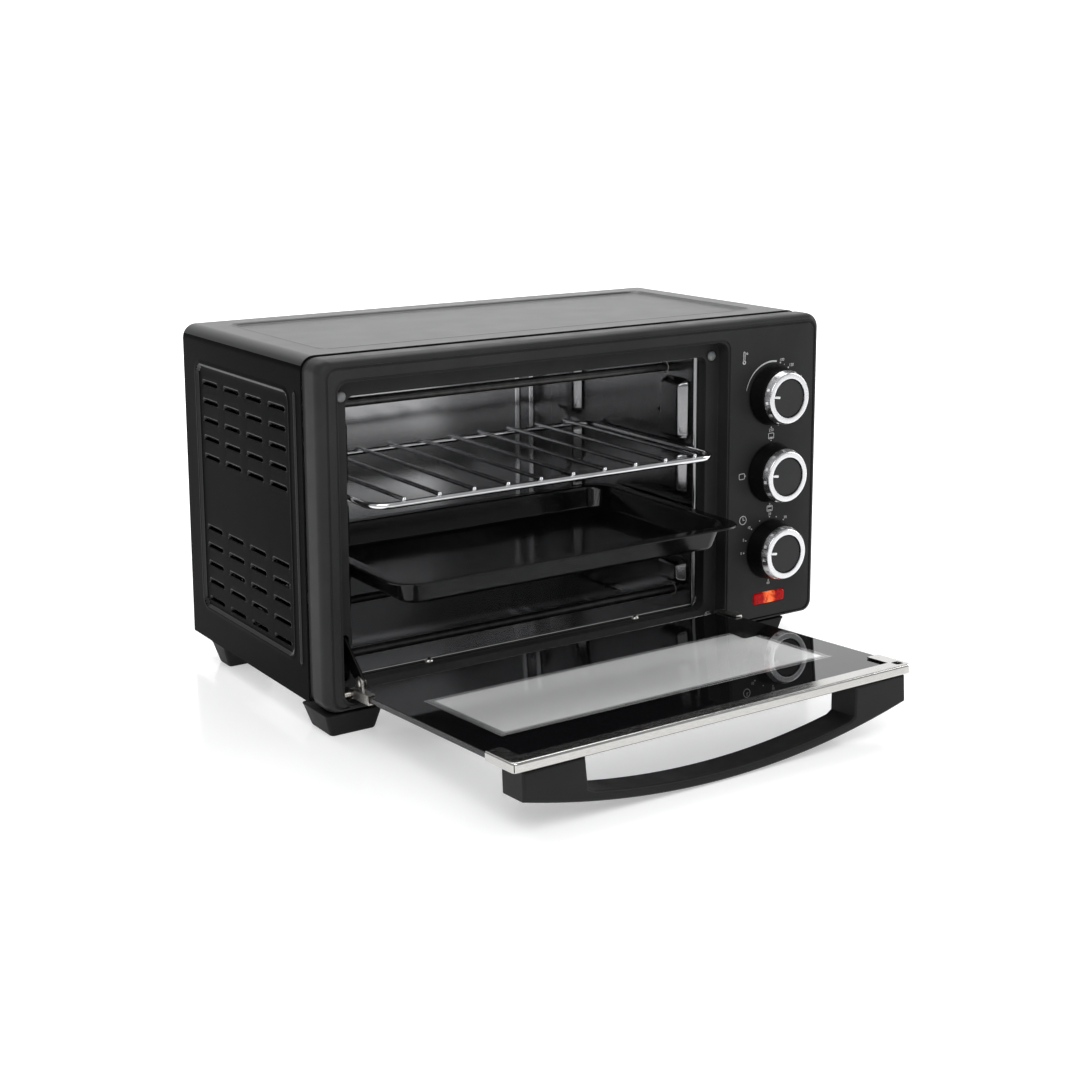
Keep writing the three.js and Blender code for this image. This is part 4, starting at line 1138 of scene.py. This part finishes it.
def handle_outline(mount):
    """The handle seen along the door, as (x, y) pairs: its bowed front, then back round the grip."""
    half, post = HANDLE["half"], HANDLE["post_inner"]
    outline = [(DOOR_X - half, mount)]
    for i in range(41):
        across = i / 20 - 1
        outline.append((DOOR_X + across * half, GLASS["outer"] - (38 - 19 * across * across)))
    outline += [(DOOR_X + half, mount), (DOOR_X + post, mount)]
    for i in reversed(range(33)):
        across = i / 16 - 1
        reach = 32.2 - 10.5 * across * across
        inward = 5.5 * (abs(across) > 0.99)
        outline.append((DOOR_X + across * (HANDLE["grip_half"] - inward * 0.5),
                        GLASS["outer"] - reach + inward * 0.2))
    outline.append((DOOR_X - post, mount))
    return outline


def door_handle():
    """A bowed bar on two posts, with a pad under each post."""
    mount = GLASS["outer"] - 1.6
    parts = [plate("handle_bow", [handle_outline(mount)], "XY", HANDLE["z0"], HANDLE["z1"], 1.8, 4)]
    for side in (-1, 1):
        x = DOOR_X + side * 128
        parts.append(block("pad", (x - 15, mount - 1.5, 185), (x + 15, GLASS["outer"] - 0.3, 196.6)))
    handle = joined("door_pull", parts)
    on_door(handle, HANDLE_PLASTIC, "black_plastic", ["door_handle"], angle=35)


def hinge_brackets():
    """Folded channels clamped on the glass's lower corners, each with a knuckle and a hinge pin."""
    edge = GLASS["half"] + 0.3
    front, back = GLASS["outer"] - 0.3, GLASS["inner"] + 0.3
    thick = BRACKET_THICK
    for side, name in ((-1, "left"), (1, "right")):

        def across(distance):
            return DOOR_X + side * distance

        channel = [(edge - 11, front - thick), (edge + 0.5, front - thick), (edge + 1.0, front - thick + 0.2),
                   (edge + thick, front - thick + 0.7), (edge + thick, back + thick - 0.7),
                   (edge + 1.0, back + thick - 0.2), (edge + 0.5, back + thick),
                   (edge - 4.5, back + thick), (edge - 4.5, back), (edge, back), (edge, front),
                   (edge - 11, front)]
        rings = [[at(across(x), y, z) for x, y in channel] for z in (14, 36.5)]
        clamp = skin("clamp", rings)
        tail = [(HINGE.y - 4.2, HINGE.z), (HINGE.y - 3.6, HINGE.z - 2.1), (HINGE.y - 2.1, HINGE.z - 3.6),
                (HINGE.y, HINGE.z - 4.2), (HINGE.y + 2.1, HINGE.z - 3.6), (HINGE.y + 3.6, HINGE.z - 2.1),
                (HINGE.y + 4.2, HINGE.z), (back + thick, 15), (front - thick, 15)]
        inner_x, outer_x = sorted((across(edge), across(edge + thick)))
        knuckle = plate("knuckle", [tail], "YZ", inner_x, outer_x, 0.15)
        parts = [clamp, knuckle]
        profile = [(radius, side * along) for radius, along in ((0, 0), (2, 0), (2, 6.4), (1.5, 7), (0, 7))]
        parts.append(lathe("pin", profile, (across(edge), HINGE.y, HINGE.z), "X", 28))
        if side < 0:
            parts.append(link_lug(back, across(edge - 0.3), across(edge - 1.7)))
        bracket = joined(f"hinge_{name}", parts)
        on_door(bracket, BRIGHT_STEEL, "bright_steel", [f"hinge_bracket_{name}"], bevel=0.12)


def link_lug(back, low_x, high_x):
    """The upright tab of the left bracket that holds the link's rivet."""
    rivet = closed_place(centre_of("link_rivet_left"))
    outline = [(back, rivet.z + 5.2), (back, rivet.z - 6)]
    for i in range(9):
        angle = math.radians(-90 + 180 * i / 8)
        outline.append((rivet.y + 4.4 * math.cos(angle), rivet.z + 4.4 * math.sin(angle)))
    return plate("lug", [outline], "YZ", low_x, high_x, 0.25)


def link_rivet():
    rivet = closed_place(centre_of("link_rivet_left"))
    profile = [(0, -0.95), (1.4, -0.9), (2.3, -0.65), (2.8, -0.3), (1.6, -0.3), (1.6, 3.7), (2.8, 3.7),
               (2.7, 4.2), (1.8, 4.6), (0, 4.6)]
    piece = lathe("link_rivet", profile, (DOOR_X - GLASS["half"], rivet.y, rivet.z), "X", 28)
    on_door(piece, BRIGHT_STEEL, "bright_steel", ["link_rivet_left"], angle=40)


def closed_place(open_point):
    """Where a point of the open door is once the door is closed."""
    return local(DOOR_PLACE.inverted() @ at(*open_point))


# ------------------------------------------------------------------ door links, drawn with the door open


def half_round(centre, start):
    """Half a turn about (centre, 0), from start degrees, as one round end of the link arm."""
    turns = [math.radians(start + 180 * i / 12) for i in range(13)]
    return [(centre + LINK_END * math.cos(turn), LINK_END * math.sin(turn)) for turn in turns]


def link_arm():
    """A flat arm from the rivet up to the spring, widened below."""
    rivet = centre_of("link_rivet_left")
    outline = half_round(0, 90) + [(8, -6.2), (12, -7.2), (40, -8), (54, -5)] + half_round(LINK_LENGTH, -90)

    def turned(points):
        cos, sin = math.cos(LINK_ANGLE), math.sin(LINK_ANGLE)
        return [(rivet.y + u * cos - v * sin, rivet.z + u * sin + v * cos) for u, v in points]

    low, high = (local(corner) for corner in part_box("link_arm_left"))
    outlines = [turned(outline), turned(circle(0, 0, 1.9, 20)), turned(circle(LINK_LENGTH, 0, 1.6, 20))]
    arm = plate("door_link", outlines, "YZ", low.x, high.x, 0.35, 3)
    finish_piece(arm, DARK_STEEL, "link_left", "dark_steel", ["link_arm_left"], angle=35)


def pull_spring():
    """The door's spring, with a hook through the link arm's end and one for the wall's tab."""
    rivet = centre_of("link_rivet_left")
    x = centre_of("link_arm_left").x
    hook_y = rivet.y + LINK_LENGTH * math.cos(LINK_ANGLE)
    hook_z = rivet.z + LINK_LENGTH * math.sin(LINK_ANGLE)
    start = [(x - 3.4, hook_y, hook_z - 1), (x - 3.4, hook_y + 1, hook_z), (x - 3, hook_y + 6, hook_z),
             (x + 1.5, hook_y + 9, hook_z)]
    turns, steps = 26, 12
    coil = []
    for i in range(turns * steps + 1):
        around = 2 * math.pi * i / steps
        y = hook_y + 11 + 49 * i / (turns * steps)
        coil.append((x + 3 * math.cos(around), y, hook_z + 3 * math.sin(around)))
    end = [(x + 1, hook_y + 62, hook_z), (x, hook_y + 64, hook_z), (x, hook_y + 68, hook_z)]
    spring = bar("pull_spring", start + coil + end, 0.5, sides=8)
    finish_piece(spring, BRIGHT_STEEL, "link_left", "bright_steel", ["door_spring_left"], angle=60)


# ------------------------------------------------------------------ controls


def knobs():
    """Each knob has a flared skirt, a plated ring, a face disc and a pointer on the disc."""
    for name, z in KNOB_HEIGHTS.items():
        body = f"{name}_control_knob"
        centre = (KNOB_X, 0, z)
        skirt = [(0, -26.6), (21.6, -26.6), (22.5, -27.0), (22.8, -27.8), (22.5, -29.4), (21.8, -32.5),
                 (21.2, -36), (20.6, -39.6), (20.0, -40.4), (15.0, -40.5), (0, -40.5)]
        base = lathe(f"{name}_dial_skirt", skirt, centre, sides=96)
        cut(base, [lathe("bore", [(0, -36), (3.3, -36), (3.3, -20), (0, -20)], centre, sides=24)])
        finish_piece(base, KNOB_PLASTIC, body, "black_plastic", [f"{name}_knob"], angle=35)
        face = [(0, -40.4), (14.0, -40.4), (14.0, -44.6), (13.8, -44.9), (13.2, -45), (0, -45)]
        disc = lathe(f"{name}_dial_face", face, centre, sides=96)
        finish_piece(disc, DISC_PLASTIC, body, "black_plastic", angle=35)
        dial_ring(name, body, centre)
        turned = Matrix.Rotation(math.radians(POINTER_ANGLE), 2)
        outline = []
        for u, v in round_rect(-14.2, -8.8, -0.9, 0.9, 0.7, 4):
            spot = turned @ Vector((u, v))
            outline.append((KNOB_X + spot.x, z + spot.y))
        pointer = plate(f"{name}_dial_pointer", [outline], "XZ", -45.5, -44.9, 0.15)
        finish_piece(pointer, RING_METAL, body, "chrome_trim", angle=35)


def dial_ring(name, body, centre):
    """The plated ring: a flat front and a flared side with twelve small notches."""
    profile = [(14.4, -45.3), (14.7, -45.8), (15.2, -46.0), (18.0, -46.0), (18.5, -45.8), (18.8, -45.4),
               (20.3, -41.5), (20.4, -41.0), (20.1, -40.8), (14.4, -40.8)]
    ring = lathe(f"{name}_dial_ring", profile, centre, sides=96)
    notches = []
    for i in range(12):
        angle = math.radians(7 + 30 * i)
        out = Vector((math.cos(angle), 0, math.sin(angle)))
        along = Vector((-out.z, 0, out.x)) * 1.25
        corners = [(reach, side, y) for y in (-44.4, -42) for reach, side in
                   ((18.7, -1), (22, -1), (22, 1), (18.7, 1))]
        points = [at(*(Vector(centre) + out * reach + along * side + Vector((0, y, 0))))
                  for reach, side, y in corners]
        notches.append(skin("notch", [points[:4], points[4:]]))
    cut(ring, notches)
    finish_piece(ring, RING_METAL, body, "chrome_trim", [f"{name}_knob_ring"], angle=35)


def dial_point(z, radius, degrees):
    """A point round a dial, clockwise from nine o'clock."""
    angle = math.radians(degrees)
    return KNOB_X - radius * math.cos(angle), z + radius * math.sin(angle)


def print_shape(name, outlines):
    """Ink on the panel, one outline and its holes."""
    return plate(name, outlines, "XZ", PANEL_Y - 0.12, PANEL_Y - 0.02, 0.0, 0)


def number(text, x, z, size):
    """Digits printed on the panel, about a point."""
    curve = bpy.data.curves.new("number", "FONT")
    curve.body = text
    curve.size = size * MM
    curve.align_x = "CENTER"
    curve.align_y = "CENTER"
    curve.extrude = 0.05 * MM
    mesh = mesh_of("number", curve)
    for vertex in mesh.vertices:
        u, v, w = vertex.co / MM
        vertex.co = at(x + u, PANEL_Y - 0.07 - w, z + v)
    return linked("number", mesh)


def arc_band(z, radius, start, end, width_start, width_end, steps=24):
    """The outline of an arc round a dial that widens along its length."""
    outer, inner = [], []
    for i in range(steps + 1):
        share = i / steps
        degrees = start + (end - start) * share
        width = width_start + (width_end - width_start) * share
        outer.append(dial_point(z, radius + width / 2, degrees))
        inner.append(dial_point(z, radius - width / 2, degrees))
    return outer + list(reversed(inner))


def framed(x, z, width, height, line=0.45, radius=1.0):
    """A round-cornered frame, as its outer outline and its hole."""
    x0, x1, z0, z1 = x - width / 2, x + width / 2, z - height / 2, z + height / 2
    return [round_rect(x0, x1, z0, z1, radius, 4),
            round_rect(x0 + line, x1 - line, z0 + line, z1 - line, radius - line, 4)]


def strip(x0, z0, x1, z1, width):
    """The outline of a straight stroke between two points."""
    along = Vector((x1 - x0, z1 - z0)).normalized()
    across = Vector((-along.y, along.x)) * width / 2
    return [(x0 + across.x, z0 + across.y), (x0 - across.x, z0 - across.y),
            (x1 - across.x, z1 - across.y), (x1 + across.x, z1 + across.y)]


def dial_number(text, z, degrees, dot, size):
    """A dot with its number just outside it, on the number's own side."""
    x, dot_z = dial_point(z, MARK_RADIUS, degrees)
    across = -math.cos(math.radians(degrees)) * (0.36 * size * len(text) + 1.4)
    up = math.sin(math.radians(degrees)) * (0.36 * size + 1.0)
    return [print_shape("dot", [circle(x, dot_z, dot, 16)]), number(text, x + across, dot_z + up, size)]


def thermostat_marks(z):
    """A widening arc, temperatures from 100 to 250, and a thermometer."""
    marks = [print_shape("arc", [arc_band(z, 25.2, 12, 99, 0.3, 1.4)])]
    values = {"100": 108, "120": 129, "150": 156, "180": 184, "200": 208, "230": 238, "250": 270}
    for text, degrees in values.items():
        marks += dial_number(text, z, degrees, 0.6, 3.1)
    for degrees in (118, 139, 148, 170, 196, 223, 254):
        x, dot_z = dial_point(z, MARK_RADIUS, degrees)
        marks.append(print_shape("dot", [circle(x, dot_z, 0.36, 12)]))
    x, low = KNOB_X - 27.3, z + 26.5
    marks.append(print_shape("stem", framed(x, low + 4.4, 1.7, 7.4, 0.42, 0.84)))
    marks.append(print_shape("bulb", [circle(x, low, 1.5, 24), circle(x, low, 0.8, 20)]))
    degree = (x + 2.6, low + 6.4)
    marks.append(print_shape("degree", [circle(*degree, 0.8, 20), circle(*degree, 0.4, 16)]))
    return marks


def oven_symbol(x, z, heats):
    """A small oven outline with a bar for each side that heats."""
    marks = [print_shape("oven", framed(x, z, 5.6, 4.6))]
    bars = {"top": strip(x - 1.7, z + 1.2, x + 1.7, z + 1.2, 0.55),
            "bottom": strip(x - 1.7, z - 1.2, x + 1.7, z - 1.2, 0.55)}
    for heat in heats:
        marks.append(print_shape("heat", [bars[heat]]))
    return marks


def mode_marks(z):
    """A dot and an oven symbol at each quarter turn."""
    marks = []
    for degrees, heats in ((0, ()), (90, ("bottom",)), (180, ("top",)), (270, ("top", "bottom"))):
        x, dot_z = dial_point(z, MARK_RADIUS - 0.3, degrees)
        marks.append(print_shape("dot", [circle(x, dot_z, 0.5, 16)]))
        x, symbol_z = dial_point(z, MARK_RADIUS + 3.1, degrees)
        marks += oven_symbol(x, symbol_z, heats)
    return marks


def timer_marks(z):
    """Minutes from 0 to 60, and a clock."""
    marks = []
    values = {"0": 0, "5": 22, "10": 45, "20": 90, "30": 124, "40": 172, "50": 221, "60": 270}
    for text, degrees in values.items():
        marks += dial_number(text, z, degrees, 0.55, 2.9)
    for degrees in (67, 106, 148, 196, 245):
        x, dot_z = dial_point(z, MARK_RADIUS, degrees)
        marks.append(print_shape("dot", [circle(x, dot_z, 0.45, 12)]))
    x, clock_z = KNOB_X - 26, z + 25.4
    marks.append(print_shape("clock", [circle(x, clock_z, 3.4, 32), circle(x, clock_z, 2.95, 32)]))
    marks.append(print_shape("hand", [strip(x, clock_z, x, clock_z + 2.2, 0.42)]))
    marks.append(print_shape("hand", [strip(x - 0.2, clock_z, x + 1.5, clock_z, 0.42)]))
    return marks


def panel_marks():
    makers = {"thermostat": thermostat_marks, "mode": mode_marks, "timer": timer_marks}
    for name, make in makers.items():
        marks = joined(f"{name}_marks", make(KNOB_HEIGHTS[name]))
        finish_piece(marks, INK, "chassis", "frame_black", angle=30)


def indicator():
    """The lens, a low dome with a rounded edge."""
    low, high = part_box("indicator_lens")
    first, last = local(low), local(high)
    rings = []
    for inset, y, radius in ((0.0, -22.5, 2.0), (0.0, -26.3, 2.0), (0.35, -26.9, 1.8), (1.1, -27.2, 1.4),
                             (2.2, -27.0, 1.0)):
        outline = round_rect(first.x + inset, last.x - inset, first.z + inset, last.z - inset, radius, 5)
        rings.append([at(x, y, z) for x, z in outline])
    lens = skin("indicator_window", rings)
    glow = glowing_lens("red_lens", (low + high) / 2, (high.x - low.x) / 2)
    finish_piece(lens, glow, "chassis", "red_lens", ["indicator_lens"], angle=40)


def carried_over():
    """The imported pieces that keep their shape: those behind the panel, and the base."""
    looks = {
        "base_plate": GALVANISED, "terminal_block": CERAMIC, "indicator_lamp": CERAMIC,
        "thermostat_control": GALVANISED, "mode_control": GALVANISED, "timer_control": GALVANISED,
        "thermostat_shaft": BRIGHT_STEEL, "mode_shaft": BRIGHT_STEEL, "timer_shaft": BRIGHT_STEEL,
    }
    for node, material in looks.items():
        piece = frame["nodes"][node]
        piece.data.materials.clear()
        piece.data.materials.append(material)


# ------------------------------------------------------------------ studio


def studio_floor():
    """A pale floor that curves up behind the oven, square to the camera."""
    size = 6000
    depth = 2600
    rise = 1800
    section = [(-size, FLOOR_Z), (depth, FLOOR_Z)]
    for i in range(1, 13):
        angle = math.radians(90 * i / 12)
        section.append((depth + rise * math.sin(angle), FLOOR_Z + rise * (1 - math.cos(angle))))
    section.append((depth + rise, FLOOR_Z + 4500))
    points = [at(x, y, z) for x in (-size, size) for y, z in section]
    count = len(section)
    faces = [(i, i + 1, count + i + 1, count + i) for i in range(count - 1)]
    backdrop = new_object("floor", points, faces)
    backdrop.data.shade_smooth()
    backdrop.rotation_euler = (0, 0, -math.radians(CAMERA["yaw"]))
    shader = Shader("pale_floor")
    shader.set(Specular_IOR_Level=0.5, Emission_Color=(1, 1, 1, 1), Emission_Strength=0.4)
    shader.colour(shader.colours(shader.noise(900), (0.8, 0.8, 0.8), (0.82, 0.82, 0.82)))
    shader.roughness(shader.spread(shader.noise(400), 0.12, 0.15))
    backdrop.data.materials.append(shader.material)


def area_light(name, place, target, size, power):
    """A soft light at a place in millimetres, aimed at target, with its size in metres."""
    light = bpy.data.lights.new(name, "AREA")
    light.shape = "RECTANGLE"
    light.size, light.size_y = size
    light.energy = power
    lamp = linked(name, light)
    lamp.location = at(*place)
    direction = at(*target) - lamp.location
    lamp.rotation_euler = direction.to_track_quat("-Z", "Y").to_euler()


def lighting():
    world = bpy.data.worlds.new("studio")
    world.use_nodes = True
    background = world.node_tree.nodes["Background"]
    background.inputs["Color"].default_value = (0.9, 0.91, 0.93, 1)
    background.inputs["Strength"].default_value = 0.42
    bpy.context.scene.world = world
    area_light("overhead_back", (200, 1000, 1700), (0, 0, 0), (2.2, 1.2), 24)
    area_light("right", (1900, -500, 900), (0, 0, 100), (1.2, 1.4), 20)
    area_light("front_left", (-700, -900, 1000), (-500, -800, 0), (1.0, 1.0), 9)
    area_light("backdrop_wash", (900, 1500, 1700), (1300, 2600, 300), (2.5, 1.5), 50)
    bpy.context.scene.view_settings.view_transform = "Standard"


def camera():
    yaw, pitch = math.radians(CAMERA["yaw"]), math.radians(CAMERA["pitch"])
    data = bpy.data.cameras.new("camera")
    data.lens = CAMERA["lens"]
    data.sensor_width = 36
    data.shift_y = CAMERA["shift"]
    data.clip_start = 0.01
    viewer = linked("camera", data)
    turn = (Matrix.Rotation(-yaw, 4, "Z") @ Matrix.Rotation(math.pi / 2 - pitch, 4, "X")
            @ Matrix.Rotation(math.radians(CAMERA["roll"]), 4, "Z"))
    viewer.matrix_world = Matrix.Translation(at(*CAMERA["place"])) @ turn
    bpy.context.scene.camera = viewer


# ------------------------------------------------------------------ the whole oven

camera()
lighting()
studio_floor()
outer_cover()
rear_panel()
rear_screws()
cord_gland()
feet()
front_frame()
bumpers()
cavity_wall(-1, "left")
cavity_wall(1, "right")
cavity_ceiling()
cavity_rear_wall()
cavity_floor()
heating_elements()
wire_rack()
baking_tray()
door_glass()
glass_edge_highlight()
trim_channel()
door_handle()
hinge_brackets()
link_rivet()
link_arm()
pull_spring()
knobs()
panel_marks()
indicator()
carried_over()
